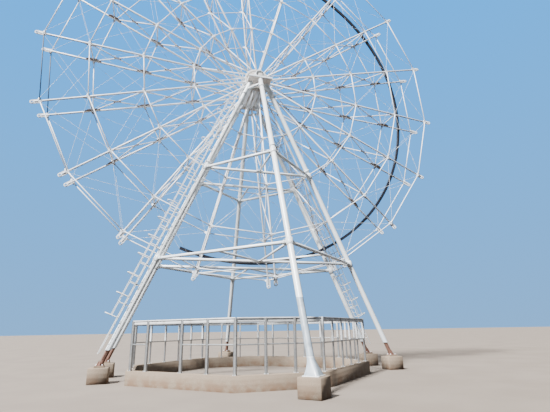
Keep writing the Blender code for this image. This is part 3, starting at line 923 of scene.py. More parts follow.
@dataclass
class Wheel:
    """Sizes that every part of the wheel shares."""

    hub: Vector
    count: int = 18
    first_angle: float = radians(-5.14)
    drum_radius: float = 0.86
    tip_radius: float = 14.12
    eye_width: float = 0.25
    root_half_spread: float = 1.08
    tip_half_spread: float = 0.836
    chord_width: float = 0.11
    lug_reach: float = 0.04
    rings: dict[str, float] = field(default_factory=lambda: {
        "outer": 13.58, "second": 10.92, "third": 7.62, "inner": 4.37})

    @property
    def eye_radius(self) -> float:
        """Return how far out the holes in the tips lie."""
        return self.tip_radius - self.eye_width / 2.0

    @property
    def step(self) -> float:
        """Return the angle from spoke to spoke."""
        return 2.0 * pi / self.count

    def angle(self, index: int) -> float:
        """Return a spoke's angle above the horizontal."""
        return self.first_angle + index * self.step

    def spread(self, radius: float) -> float:
        """Return how far a chord stands from the wheel's middle plane."""
        share = (radius - self.drum_radius) / (self.eye_radius - self.drum_radius)
        return self.root_half_spread + (self.tip_half_spread - self.root_half_spread) * share

    def seat(self, radius: float) -> float:
        """Return how far out the outer surface of a chord stands."""
        return self.spread(radius - self.lug_reach) + self.chord_width / 2.0 + FIT

    def radial(self, angle: float) -> Vector:
        """Return the unit vector outwards at an angle."""
        return Vector((cos(angle), 0.0, sin(angle)))

    def sideways(self, angle: float) -> Vector:
        """Return the unit vector towards growing angles."""
        return Vector((-sin(angle), 0.0, cos(angle)))

    def spot(self, angle: float, radius: float, depth: float, aside: float = 0.0) -> Vector:
        """Return a point of the wheel.

        Args:
            angle: The angle above the horizontal.
            radius: The distance from the axis.
            depth: The distance from the middle plane, towards the back.
            aside: The distance sideways, towards growing angles.

        Returns:
            The point, in the frame of the model.
        """
        return (self.hub + self.radial(angle) * radius + Y_AXIS * depth
                + self.sideways(angle) * aside)

    def place(self, angle: float) -> Matrix:
        """Return the matrix that puts a spoke drawn along X at its angle."""
        return Matrix.Translation(self.hub) @ Matrix.Rotation(-angle, 4, "Y")


@dataclass
class SpokeTrusses:
    """The spokes: two chords each, with posts, crossed diagonals, gussets and pierced tips."""

    wheel: Wheel
    post_width: float = 0.08
    diagonal_width: float = 0.07
    first_crossing: float = 0.06
    plate: float = 0.014
    root_width: float = 0.20
    root_thickness: float = 0.03
    root_rib: Triple = (0.20, 0.095, 0.012)
    root_bolts: Pairs = ((0.12, 0.06), (0.24, 0.06))
    back_gusset: Pair = (0.50, 0.32)
    front_gusset: Pair = (0.40, 0.20)
    gusset_cut: float = 0.45
    gusset_bolts: Pairs = ((-0.6, 0.38), (0.6, 0.38), (-0.2, 0.8), (0.2, 0.8))
    crossing: Pair = (0.23, 0.10)
    crossing_flat: float = 0.7
    crossing_bolts: Pairs = ((-0.6, -0.5), (0.6, -0.5), (-0.6, 0.5), (0.6, 0.5))
    eye_length: float = 0.62
    eye_thickness: float = 0.05
    eye_steps: int = 12
    eye_bolts: Pairs = ((0.34, -0.065), (0.34, 0.065), (0.46, -0.065), (0.46, 0.065))
    hole_width: float = 0.12
    collar: Pair = (0.03, 0.04)

    def chord(self, radius: float, side: float) -> Vector:
        """Return a point on a chord of the spoke along X."""
        return Vector((radius, side * self.wheel.spread(radius), 0.0))

    def gusset(self, sketch: Sketch, radius: float, side: float) -> None:
        """Draw the plate that joins a post and diagonals to a chord, with its bolts.

        Args:
            sketch: The spoke's sketch.
            radius: The post's distance from the axis.
            side: The chord, by the sign of Y.
        """
        half, depth = self.back_gusset if side > 0 else self.front_gusset
        cut = self.gusset_cut
        outline = [(-half, 0.0), (half, 0.0), (half, cut * depth), (cut * half, depth),
                   (-cut * half, depth), (-half, cut * depth)]
        foot = self.chord(radius, side)
        inward = Vector((0.0, -side, 0.0))
        # The plate's dark brown-grey is partly rust on bare steel and partly painted shade
        sketch.plate(outline, foot, X_AXIS, inward, self.plate, GUSSET_RUST_AND_SHADE)
        for out, deep in self.gusset_bolts:
            sketch.through_bolt(foot + X_AXIS * out * half + inward * deep * depth, Z_AXIS,
                                self.plate / 2.0, Bolt.PLATE)

    def web(self, sketch: Sketch) -> None:
        """Draw the posts, the crossed diagonals and the plates where they cross.

        Args:
            sketch: The spoke's sketch.
        """
        stations = [self.wheel.rings[word] for word in ("inner", "third", "second")]
        for radius in stations:
            sketch.tube(self.chord(radius, -1.0), self.chord(radius, 1.0), self.post_width,
                        WHEEL_PAINT, sides=16)
            for side in SIDES:
                self.gusset(sketch, radius, side)
        long, wide = self.crossing
        for near, far in zip([self.wheel.drum_radius + self.first_crossing] + stations, stations):
            for side in SIDES:
                sketch.tube(self.chord(near, side), self.chord(far, -side), self.diagonal_width,
                            WHEEL_PAINT, sides=12)
            low, high = self.wheel.spread(near), self.wheel.spread(far)
            middle = Vector((near + (far - near) * low / (low + high), 0.0, 0.0))
            # The crossing plate's dark brown-grey is partly rust on bare steel and partly painted
            # shade
            sketch.plate(clipped(long, wide, self.crossing_flat), middle, X_AXIS, Y_AXIS,
                         2.0 * self.plate, GUSSET_RUST_AND_SHADE)
            for out, deep in self.crossing_bolts:
                sketch.through_bolt(middle + Vector((out * long, deep * wide, 0.0)), Z_AXIS,
                                    self.plate, Bolt.PLATE)

    def root(self, sketch: Sketch) -> None:
        """Draw the foot plate on the drum with its ribs and bolts.

        Args:
            sketch: The spoke's sketch.
        """
        wheel = self.wheel
        seat = wheel.drum_radius + FIT
        reach = wheel.root_half_spread + wheel.chord_width / 2.0
        middle = Vector((seat + self.root_thickness / 2.0, 0.0, 0.0))
        sketch.bar(middle - Y_AXIS * reach, middle + Y_AXIS * reach, self.root_width,
                   self.root_thickness, Z_AXIS, WHEEL_PAINT)
        top = seat + self.root_thickness
        long, tall, thick = self.root_rib
        for side in SIDES:
            foot = Vector((top, side * wheel.spread(top), 0.0))
            for up in SIDES:
                sketch.plate([(0.0, 0.0), (long, 0.0), (0.0, tall)], foot, X_AXIS, Z_AXIS * up,
                             thick, WHEEL_PAINT)
                for deep, rise in self.root_bolts:
                    sketch.bolt(foot + Vector((0.0, -side * deep, up * rise)), X_AXIS, Bolt.ROOT)

    def eye(self, sketch: Sketch, side: float) -> None:
        """Draw the pierced plate at a chord's tip, with its collar and bolts.

        Args:
            sketch: The spoke's sketch.
            side: The chord, by the sign of Y.
        """
        half = self.wheel.eye_width / 2.0
        wall = self.hole_width / 2.0
        back = self.eye_length - half
        corner = atan2(half, back)
        angles = [pi * index / self.eye_steps for index in range(-self.eye_steps, self.eye_steps)]
        angles += [pi - corner, corner - pi]
        rim, hole = [], []
        for angle in sorted(angles):
            reach = half
            if abs(angle) > pi / 2.0:
                reach = min(back / abs(cos(angle)), half / max(abs(sin(angle)), TINY))
            rim.append((reach * cos(angle), reach * sin(angle)))
            hole.append((wall * cos(angle), wall * sin(angle)))
        centre = Vector((self.wheel.eye_radius, side * self.wheel.tip_half_spread, 0.0))
        rings = []
        for outline, depth in ((rim, -0.5), (rim, 0.5), (hole, 0.5), (hole, -0.5)):
            rings.append([centre + Vector((x, depth * self.eye_thickness, z)) for x, z in outline])
        sketch.loft(rings, WHEEL_PAINT, closed=True)
        thick, deep = self.collar
        collar = [(-deep, wall), (-deep, wall + thick), (deep, wall + thick), (deep, wall)]
        sketch.lathe(centre, Y_AXIS, collar, WHEEL_PAINT, closed=True)
        for back_off, up in self.eye_bolts:
            sketch.through_bolt(centre + Vector((-back_off, 0.0, up)), Y_AXIS,
                                self.eye_thickness / 2.0, Bolt.PLATE)

    def build(self) -> None:
        """Draw one spoke along X, and put a turned copy of it on every spoke's node."""
        sketch = Sketch()
        inner = self.wheel.drum_radius + self.root_thickness
        outer = self.wheel.eye_radius - self.hole_width
        for side in SIDES:
            sketch.tube(self.chord(inner, side), self.chord(outer, side), self.wheel.chord_width,
                        WHEEL_PAINT, sides=20)
            self.eye(sketch, side)
        self.web(sketch)
        self.root(sketch)
        master = sketch.mesh("spoke truss")
        for index in range(self.wheel.count):
            spoke = master.copy()
            spoke.transform(self.wheel.place(self.wheel.angle(index)))
            put(f"spoke_truss_{index + 1:02d}", spoke, Body.WHEEL, "wheel_paint",
                f"spoke_{index + 1:02d}")
        bpy.data.meshes.remove(master)


@dataclass
class RimTies:
    """The polygon rings: a tube from spoke to spoke, bolted to a lug on each chord."""

    wheel: Wheel
    tube_width: float = 0.062
    sink: float = 0.004
    lug: Pair = (0.09, 0.19)
    lug_flat: float = 0.4
    lug_bolt: float = 0.6
    plate: float = 0.012
    stop: float = 0.14
    tongue_gap: float = 0.05
    tongue_lap: float = 0.06
    tongue_extra: float = 0.01
    tongue_bolt: float = 0.10
    bare_bay: int = 9

    def lug_at(self, sketch: Sketch, index: int, radius: float, face: float) -> None:
        """Draw the lug on one chord with its bolts.

        Args:
            sketch: The ring's sketch.
            index: The spoke's number.
            radius: The ring's radius.
            face: The wheel's face, by the sign of Y.
        """
        angle = self.wheel.angle(index)
        depth = face * (self.wheel.seat(radius) + self.plate / 2.0)
        tall, wide = self.lug
        sketch.plate(clipped(tall, wide, self.lug_flat), self.wheel.spot(angle, radius, depth),
                     self.wheel.radial(angle), self.wheel.sideways(angle), self.plate, WHEEL_PAINT)
        for up in (-self.lug_bolt * tall, self.lug_bolt * tall):
            spot = self.wheel.spot(angle, radius + up, depth + face * self.plate / 2.0)
            sketch.bolt(spot, Y_AXIS * face, Bolt.PLATE)

    def tie(self, sketch: Sketch, index: int, radius: float, face: float,
            finish: Finish) -> None:
        """Draw one tie with its flattened ends and bolts.

        Args:
            sketch: The ring's sketch.
            index: The number of the spoke that it starts from.
            radius: The ring's radius.
            face: The wheel's face, by the sign of Y.
            finish: The tie's finish.
        """
        seat = self.wheel.seat(radius)
        middle = face * (seat + self.plate + self.tube_width / 2.0 - self.sink)
        start = self.wheel.spot(self.wheel.angle(index), radius, middle)
        end = self.wheel.spot(self.wheel.angle(index + 1), radius, middle)
        along = (end - start).normalized()
        sketch.tube(start + along * self.stop, end - along * self.stop, self.tube_width, finish,
                    sides=14)
        flat = Vector((0.0, -face * (self.tube_width / 2.0 - self.plate), 0.0))
        for tip, way in ((start, along), (end, -along)):
            sketch.bar(tip + way * self.tongue_gap + flat,
                       tip + way * (self.stop + self.tongue_lap) + flat,
                       self.tube_width + self.tongue_extra, self.plate, along.cross(Y_AXIS), finish)
            sketch.bolt(tip + way * self.tongue_bolt + flat + Y_AXIS * face * self.plate / 2.0,
                        Y_AXIS * face, Bolt.TIE)

    def build(self) -> None:
        """Draw the four rings of each face."""
        for word, radius in self.wheel.rings.items():
            for face in Face:
                sketch = Sketch()
                for index in range(self.wheel.count):
                    bare = word == "outer" and index == self.bare_bay
                    self.lug_at(sketch, index, radius, face.value)
                    self.tie(sketch, index, radius, face.value,
                             GREY_PRIMER if bare else WHEEL_PAINT)
                name = f"{word}_rim_ties_{face.word}"
                put(name, sketch.mesh(name), Body.WHEEL, "ring_paint", f"{word}_ring_{face.word}")


@dataclass
class TieRods:
    """Thin crossed rods in every panel between neighbouring spokes, with turnbuckles."""

    wheel: Wheel
    rod_width: float = 0.012
    offset: float = 0.12
    lift: float = 0.030
    apart: float = 0.016
    turnbuckle_share: float = 0.22

    def build(self) -> None:
        """Draw the rods of each face as one piece."""
        radii = list(self.wheel.rings.values())
        for face in Face:
            sketch = Sketch()
            for outer, inner in zip(radii, radii[1:]):
                for index in range(self.wheel.count):
                    for first, second, lift in ((outer, inner, 0.0), (inner, outer, self.apart)):
                        out = self.lift + lift
                        start = self.wheel.spot(self.wheel.angle(index), first,
                                                face.value * (self.wheel.seat(first) + out),
                                                self.offset)
                        end = self.wheel.spot(self.wheel.angle(index + 1), second,
                                              face.value * (self.wheel.seat(second) + out),
                                              -self.offset)
                        sketch.path([start, end], self.rod_width, WHEEL_PAINT)
                        sketch.bolt(start.lerp(end, self.turnbuckle_share),
                                    (end - start).normalized(), Bolt.TURNBUCKLE)
            name = f"tie_rods_{face.word}"
            put(name, sketch.mesh(name), Body.WHEEL, "ring_paint")


@dataclass
class DriveRing:
    """The hung part of the drive ring: rolled channel on clips, spliced at the spokes."""

    wheel: Wheel
    radius: float = 12.43
    width: float = 0.18
    depth: float = 0.16
    wall: float = 0.012
    gap: float = 0.004
    start: float = radians(-111.5)
    end: float = radians(100.7)
    steps: int = 106
    spokes: range = range(-5, 6)
    splice: Triple = (0.17, 0.10, 0.010)
    splice_bolts: tuple[float, ...] = (-0.12, -0.05, 0.05, 0.12)
    clip: Triple = (0.075, 0.06, 0.014)
    clip_offset: float = 0.11
    clip_drop: float = 0.03
    stud_offset: float = 0.065
    stud_width: float = 0.014
    stud_reach: Pair = (0.13, 0.025)
    keeper: Triple = (0.085, 0.05, 0.010)
    keeper_drop: float = 0.125

    def section(self, angle: float, seat: float) -> Ring:
        """Return the channel's section at an angle, its open side to the back.

        Args:
            angle: The angle above the horizontal.
            seat: How far out the chords' outer surface stands.

        Returns:
            The section's eight corners.
        """
        half = self.width / 2.0
        thin = half - self.wall
        outline = [(-half, 0.0), (half, 0.0), (half, self.depth), (thin, self.depth),
                   (thin, self.wall), (-thin, self.wall), (-thin, self.depth), (-half, self.depth)]
        return [self.wheel.spot(angle, self.radius + reach, seat + deep) for reach, deep in outline]

    def joint(self, sketch: Sketch, angle: float, reach: float, seat: float) -> None:
        """Draw the splice plate and the clip at a spoke, on one side of the channel.

        Args:
            sketch: The ring's sketch.
            angle: The spoke's angle.
            reach: Which side, -1 for the inner and 1 for the outer one.
            seat: How far out the chords' outer surface stands.
        """
        radial = self.wheel.radial(angle)
        sideways = self.wheel.sideways(angle)
        half, wide, thick = self.splice
        spot = self.wheel.spot(angle, self.radius + reach * (self.width / 2.0 + thick / 2.0 + FIT),
                               seat + self.depth / 2.0)
        sketch.bar(spot - sideways * half, spot + sideways * half, wide, thick, Y_AXIS,
                   NAVY_PRIMER, soft=0.002)
        for aside in self.splice_bolts:
            sketch.bolt(spot + sideways * aside + radial * reach * thick / 2.0, radial * reach,
                        Bolt.SPLICE)
        half, wide, thick = self.clip
        clip = self.wheel.spot(angle, self.radius + reach * self.clip_offset, seat - self.clip_drop)
        sketch.bar(clip - sideways * half, clip + sideways * half, wide, thick, radial,
                   NAVY_PRIMER, soft=0.003)
        down, up = self.stud_reach
        for aside in SIDES:
            spot = clip + sideways * aside * self.stud_offset
            sketch.tube(spot - Y_AXIS * down, spot + Y_AXIS * up, self.stud_width, BOLT_ZINC, sides=8)
        half, wide, thick = self.keeper
        drop = Y_AXIS * self.keeper_drop
        sketch.bar(clip - sideways * half - drop, clip + sideways * half - drop, wide, thick,
                   radial, NAVY_PRIMER, soft=0.003)

    def build(self) -> None:
        """Draw the channel, its splice plates and the clips on the back chords."""
        seat = self.wheel.seat(self.radius) + self.gap
        sketch = Sketch()
        turn = (self.end - self.start) / self.steps
        sketch.loft([self.section(self.start + turn * index, seat)
                     for index in range(self.steps + 1)], NAVY_PRIMER)
        for index in self.spokes:
            for reach in SIDES:
                self.joint(sketch, self.wheel.angle(index), reach, seat)
        put("drive_ring_channel", sketch.mesh("drive ring"), Body.WHEEL, "drive_ring_paint",
            "drive_ring")


@dataclass
class HubDrum:
    """The drum that the spokes are bolted to, with ribbed ends, collars and the shaft."""

    wheel: Wheel
    half_length: float = 1.165
    soft: float = 0.008
    edge_share: float = 0.985
    shaft_radius: float = 0.18
    shaft_reach: float = 1.889
    shaft_bolts: tuple[float, int] = (0.12, 6)
    collar_radius: float = 0.24
    collar_reach: float = 1.519
    chamfer: float = 0.006
    ribs: int = 9
    rib: Pair = (0.06, 0.016)
    rib_lap: float = 0.02
    rib_stop: float = 0.14
    bolt_circle: float = 0.78
    rim_bolts: int = 36
    rim_half_width: float = 0.05
    rim_thickness: float = 0.016

    def ring(self, depth: float, share: float) -> Ring:
        """Return the many-sided outline of the drum at a depth."""
        corner = self.wheel.drum_radius * share / cos(self.wheel.step / 2.0)
        return [self.wheel.spot(self.wheel.angle(index) + self.wheel.step / 2.0, corner, depth)
                for index in range(self.wheel.count)]

    def end_plate(self, sketch: Sketch, face: float) -> None:
        """Draw the ribs, the rim and the bolts on one end of the drum.

        Args:
            sketch: The drum's sketch.
            face: The end, by the sign of Y.
        """
        depth = face * self.half_length
        for index in range(self.ribs):
            angle = 2.0 * pi * index / self.ribs
            start = self.wheel.spot(angle, self.collar_radius - self.rib_lap, depth)
            end = self.wheel.spot(angle, self.wheel.drum_radius - self.rib_stop, depth)
            sketch.bar(start, end, *self.rib, Y_AXIS, DRUM_COAT, soft=0.003)
        out = Y_AXIS * face
        centre = self.wheel.hub + out * (self.half_length - FIT)
        thick, inner = self.rim_thickness, self.bolt_circle - self.rim_half_width
        outer = self.bolt_circle + self.rim_half_width
        rim = [(0.0, inner), (thick, inner), (thick, outer), (0.0, outer)]
        sketch.lathe(centre, out, rim, DRUM_COAT, sides=54, closed=True)
        sketch.circle_of_bolts(centre + out * thick, out, self.bolt_circle, self.rim_bolts, Bolt.DRUM)
        sketch.circle_of_bolts(self.wheel.hub + out * self.shaft_reach, out, *self.shaft_bolts,
                               Bolt.SHAFT_END)

    def build(self) -> None:
        """Draw the drum, its end plates and ribs, and the shaft."""
        sketch = Sketch()
        half, soft = self.half_length, self.soft
        sketch.loft([self.ring(-half, self.edge_share), self.ring(soft - half, 1.0),
                     self.ring(half - soft, 1.0), self.ring(half, self.edge_share)], DRUM_COAT)
        for face in SIDES:
            self.end_plate(sketch, face)
        step, end, cut = self.collar_reach, self.shaft_reach, self.chamfer
        shaft, collar = self.shaft_radius, self.collar_radius
        right = [(step - cut, collar), (step, collar - cut), (step, shaft), (end - cut, shaft),
                 (end, shaft - cut)]
        left = [(-distance, radius) for distance, radius in reversed(right)]
        sketch.lathe(self.wheel.hub, Y_AXIS, left + right, DRUM_COAT, sides=48)
        put("hub_drum_and_shaft", sketch.mesh("hub drum"), Body.WHEEL, "hub_paint", "hub_drum")


@dataclass
class Tripod:
    """Sizes and lines that legs, heads, braces and ladders share."""

    hub_height: float
    plane: float = 1.48
    radius: float = 0.145
    flange_radius: float = 0.19
    flange_plate: float = 0.035
    side_top: float = 0.36
    side_foot: float = 8.29
    centre_top: float = 1.80
    centre_foot: float = 9.65
    plinth_height: float = 0.75
    plinth_width: float = 0.95
    centre_turn: float = radians(45.0)
    side_flange_drop: float = 1.40
    centre_flange_drop: float = 1.24
    flange_bolts: int = 12

    @property
    def bolt_circle(self) -> float:
        """Return the radius on which a flange's bolts stand."""
        return (self.radius + self.flange_radius) / 2.0

    @property
    def side_slope(self) -> float:
        """Return how far a side leg leans for each metre of drop."""
        return (self.side_foot - self.side_top) / (self.hub_height - self.plinth_height)

    @property
    def centre_slope(self) -> float:
        """Return how far a centre leg leans for each metre of drop."""
        return (self.centre_foot - self.centre_top) / (self.hub_height - self.plinth_height)

    def point(self, leg: Leg, face: Face, height: float) -> Vector:
        """Return the point of a leg's axis at a height.

        Args:
            leg: Which leg.
            face: Which tripod.
            height: The height above the ground.

        Returns:
            The point.
        """
        drop = self.hub_height - height
        if leg is Leg.CENTRE:
            reach = self.centre_top + drop * self.centre_slope
            return Vector((0.0, face.value * reach, height))
        reach = self.side_top + drop * self.side_slope
        return Vector((leg.value * reach, face.value * self.plane, height))

    def up(self, leg: Leg, face: Face) -> Vector:
        """Return the unit vector up a leg's axis."""
        return (self.point(leg, face, self.hub_height) - self.point(leg, face, 0.0)).normalized()

    def flat(self, leg: Leg) -> Vector:
        """Return the level direction across a leg's lean."""
        return X_AXIS if leg is Leg.CENTRE else Y_AXIS

    def ways(self, leg: Leg, face: Face) -> tuple[Vector, Vector]:
        """Return two unit vectors across a leg's axis."""
        return across(self.up(leg, face), self.flat(leg))

    def plan(self, leg: Leg) -> tuple[Vector, Vector]:
        """Return the level directions along the sides of a leg's foot and plinth."""
        turn = self.centre_turn if leg is Leg.CENTRE else 0.0
        return Vector((cos(turn), sin(turn), 0.0)), Vector((-sin(turn), cos(turn), 0.0))

    def flange_height(self, leg: Leg) -> float:
        """Return the height of the joint between a leg and the bearing head."""
        drop = self.centre_flange_drop if leg is Leg.CENTRE else self.side_flange_drop
        return self.hub_height - drop


@dataclass
class Legs:
    """The six tube legs with their flanges, weld rings and feet."""

    tripod: Tripod
    splice_height: float = 12.38
    cut_height: float = 1.55
    hollow: float = 0.22
    stub_radius: float = 0.11
    stub_lap: float = 0.25
    wall: float = 0.012
    sides: int = 32
    rib_height: float = 0.13
    rib_thickness: float = 0.008
    foot_width: float = 0.46
    pad: Pair = (0.035, 0.069)
    base_plate: Pair = (0.084, 0.030)
    base_share: float = 0.93
    base_top: float = 0.099
    foot_rib: tuple[float, float, float, float] = (0.06, 0.04, 0.26, 0.014)
    anchor_inset: float = 0.075
    shoe_width: float = 0.60
    shoe_height: float = 0.65
    shoe_lap: float = 0.20
    shoe_plate: Pair = (0.016, 0.030)
    shoe_lift: float = 0.0305
    shoe_steps: tuple[float, ...] = (0.0, 0.02, 0.35, 0.7, 1.0)
    shoe_taper: float = 0.55
    shoe_rounding: float = 1.6
    tube_length: float = 5.9
    bead: Pair = (0.012, 0.004)
    lowest_bead: float = 0.5
    film: Pair = (1.42, 3.7)
    film_steps: int = 24
    film_slack: Pair = (0.003, 0.004)
    film_wave: float = 1.7

    def slanted(self, leg: Leg, face: Face, height: float, radius: float, sides: int) -> Ring:
        """Return the level cut of a round tube about a leg's axis.

        Args:
            leg: Which leg.
            face: Which tripod.
            height: The height of the cut.
            radius: The tube's radius.
            sides: How many corners the cut has.

        Returns:
            The corners, all at one height.
        """
        up = self.tripod.up(leg, face)
        ring = circle(self.tripod.point(leg, face, height), self.tripod.ways(leg, face), radius,
                      sides)
        return [spot + up * (height - spot.z) / up.z for spot in ring]

    def flange(self, sketch: Sketch, leg: Leg, face: Face, height: float, doubled: bool) -> None:
        """Draw a bolted flange round a leg, or one half of it at the head.

        Args:
            sketch: The leg's sketch.
            leg: Which leg.
            face: Which tripod.
            height: The height of the joint.
            doubled: Whether both halves of the joint are on this leg.
        """
        tripod = self.tripod
        up = tripod.up(leg, face)
        centre = tripod.point(leg, face, height)
        thick, inner, outer = tripod.flange_plate, tripod.radius, tripod.flange_radius
        first, second = tripod.ways(leg, face)
        for side in SIDES if doubled else SIDES[:1]:
            disc = [(FIT, inner), (FIT, outer), (thick - 0.004, outer), (thick, outer - 0.004),
                    (thick, inner)]
            sketch.lathe(centre, up * side, disc, LEG_PAINT, 36, tripod.flat(leg))
            sketch.circle_of_bolts(centre + up * side * thick, up * side, tripod.bolt_circle,
                                   tripod.flange_bolts, Bolt.FLANGE)
            rib = [(inner - 0.01, thick), (outer - 0.012, thick), (inner - 0.01, self.rib_height)]
            for index in range(tripod.flange_bolts):
                angle = 2.0 * pi * index / tripod.flange_bolts
                sketch.plate(rib, centre, first * cos(angle) + second * sin(angle), up * side,
                             self.rib_thickness, LEG_PAINT)

    def raw_foot(self, sketch: Sketch, leg: Leg, face: Face) -> None:
        """Draw the rusty stub, base plate, ribs and anchor bolts of an unfinished foot.

        Args:
            sketch: The leg's sketch.
            leg: Which leg.
            face: Which tripod.
        """
        base = self.tripod.plinth_height
        up = self.tripod.up(leg, face)
        sketch.loft([self.slanted(leg, face, base + 0.02, self.stub_radius, 24),
                     self.slanted(leg, face, self.cut_height + self.stub_lap, self.stub_radius, 24)],
                    FOOT_STEEL)
        first, second = self.tripod.plan(leg)
        centre = self.tripod.point(leg, face, base)
        half = self.foot_width / 2.0
        rise, thick = self.pad
        sketch.plate(rectangle(half, half), centre + Z_AXIS * rise, first, second, thick, CONCRETE,
                     soft=0.010)
        rise, thick = self.base_plate
        less = half * self.base_share
        sketch.plate(rectangle(less, less), centre + Z_AXIS * rise, first, second, thick,
                     FOOT_STEEL, soft=0.003)
        top = centre + Z_AXIS * self.base_top
        shift = up * (self.base_top / up.z) - Z_AXIS * self.base_top
        near, margin, tall, thick = self.foot_rib
        rib = [(near, 0.0), (half - margin, 0.0), (near, tall)]
        for way in (first, -first, second, -second):
            sketch.plate(rib, top + Vector((shift.x, shift.y, 0.0)), way, Z_AXIS, thick, FOOT_STEEL)
        inset = half - self.anchor_inset
        for a in SIDES:
            for b in SIDES:
                sketch.bolt(top + first * a * inset + second * b * inset, Z_AXIS, Bolt.ANCHOR,
                            FOOT_STEEL)

    def shoe(self, sketch: Sketch, leg: Leg, face: Face) -> None:
        """Draw the finished flared shoe of the front centre leg.

        Args:
            sketch: The leg's sketch.
            leg: Which leg.
            face: Which tripod.
        """
        base = self.tripod.plinth_height
        centre = self.tripod.point(leg, face, base)
        top = self.slanted(leg, face, base + self.shoe_height, self.tripod.radius + 0.004,
                           self.sides)
        middle = sum(corner.y for corner in top) / self.sides
        rings = []
        for share in self.shoe_steps:
            height = base + self.shoe_lift + (self.shoe_height - self.shoe_lift) * share
            half = self.shoe_width / 2.0 * (1.0 - self.shoe_taper * share)
            ring = []
            for corner in top:
                angle = atan2(corner.y - middle, corner.x)
                local = angle - self.tripod.centre_turn
                reach = half / max(abs(cos(local)), abs(sin(local)))
                square = Vector((centre.x + reach * cos(angle), centre.y + reach * sin(angle),
                                 height))
                lean = Vector((corner.x, corner.y, height))
                ring.append(square.lerp(lean, share ** self.shoe_rounding))
            rings.append(ring)
        sketch.loft(rings, FILM)
        rise, thick = self.shoe_plate
        half = self.shoe_width / 2.0 + 0.03
        sketch.plate(rectangle(half, half), centre + Z_AXIS * rise, *self.tripod.plan(leg), thick,
                     LEG_PAINT, soft=0.004)

    def wrap(self, sketch: Sketch, leg: Leg, face: Face) -> None:
        """Draw the slack film round the lower part of a leg.

        Args:
            sketch: The leg's sketch.
            leg: Which leg.
            face: Which tripod.
        """
        low, high = self.film
        tight, slack = self.film_slack
        wrap = []
        for step in range(self.film_steps + 1):
            height = low + (high - low) * step / self.film_steps
            loose = tight + slack * abs(sin(step * self.film_wave))
            wrap.append(self.slanted(leg, face, height, self.tripod.radius + loose, self.sides))
        sketch.loft(wrap, FILM)

    def build(self) -> None:
        """Draw every leg from its foot to the flange under the bearing head."""
        for face in Face:
            for leg in Leg:
                sketch = Sketch()
                radius = self.tripod.radius
                finished = leg is Leg.CENTRE and face is Face.FRONT
                bottom = self.cut_height
                if finished:
                    bottom = self.tripod.plinth_height + self.shoe_height - self.shoe_lap
                top = self.tripod.flange_height(leg)
                up = self.tripod.up(leg, face)
                head = self.tripod.point(leg, face, top)
                rings = [self.slanted(leg, face, bottom, radius, self.sides),
                         circle(head - up * 0.002, self.tripod.ways(leg, face), radius, self.sides)]
                if finished:
                    sketch.loft(rings, LEG_PAINT)
                    self.shoe(sketch, leg, face)
                    self.wrap(sketch, leg, face)
                else:
                    inner = radius - self.wall
                    sketch.loft([self.slanted(leg, face, bottom + self.hollow, inner, self.sides),
                                 self.slanted(leg, face, bottom, inner, self.sides)] + rings,
                                LEG_PAINT)
                    self.raw_foot(sketch, leg, face)
                self.flange(sketch, leg, face, top, False)
                self.flange(sketch, leg, face, self.splice_height, True)
                length = (head - self.tripod.point(leg, face, 0.0)).length
                half, lift = self.bead
                for joint in range(1, int(length / self.tube_length) + 1):
                    spot = head - up * self.tube_length * joint
                    if spot.z > bottom + self.lowest_bead:
                        bead = [(-half, radius - lift), (-half / 2.0, radius + lift),
                                (half / 2.0, radius + lift), (half, radius - lift)]
                        sketch.lathe(spot, up, bead, LEG_PAINT, self.sides)
                name = f"{face.word}_{leg.word}_leg"
                put(f"{name}_tube", sketch.mesh(name), Body.SUPPORT, "leg_paint", name)


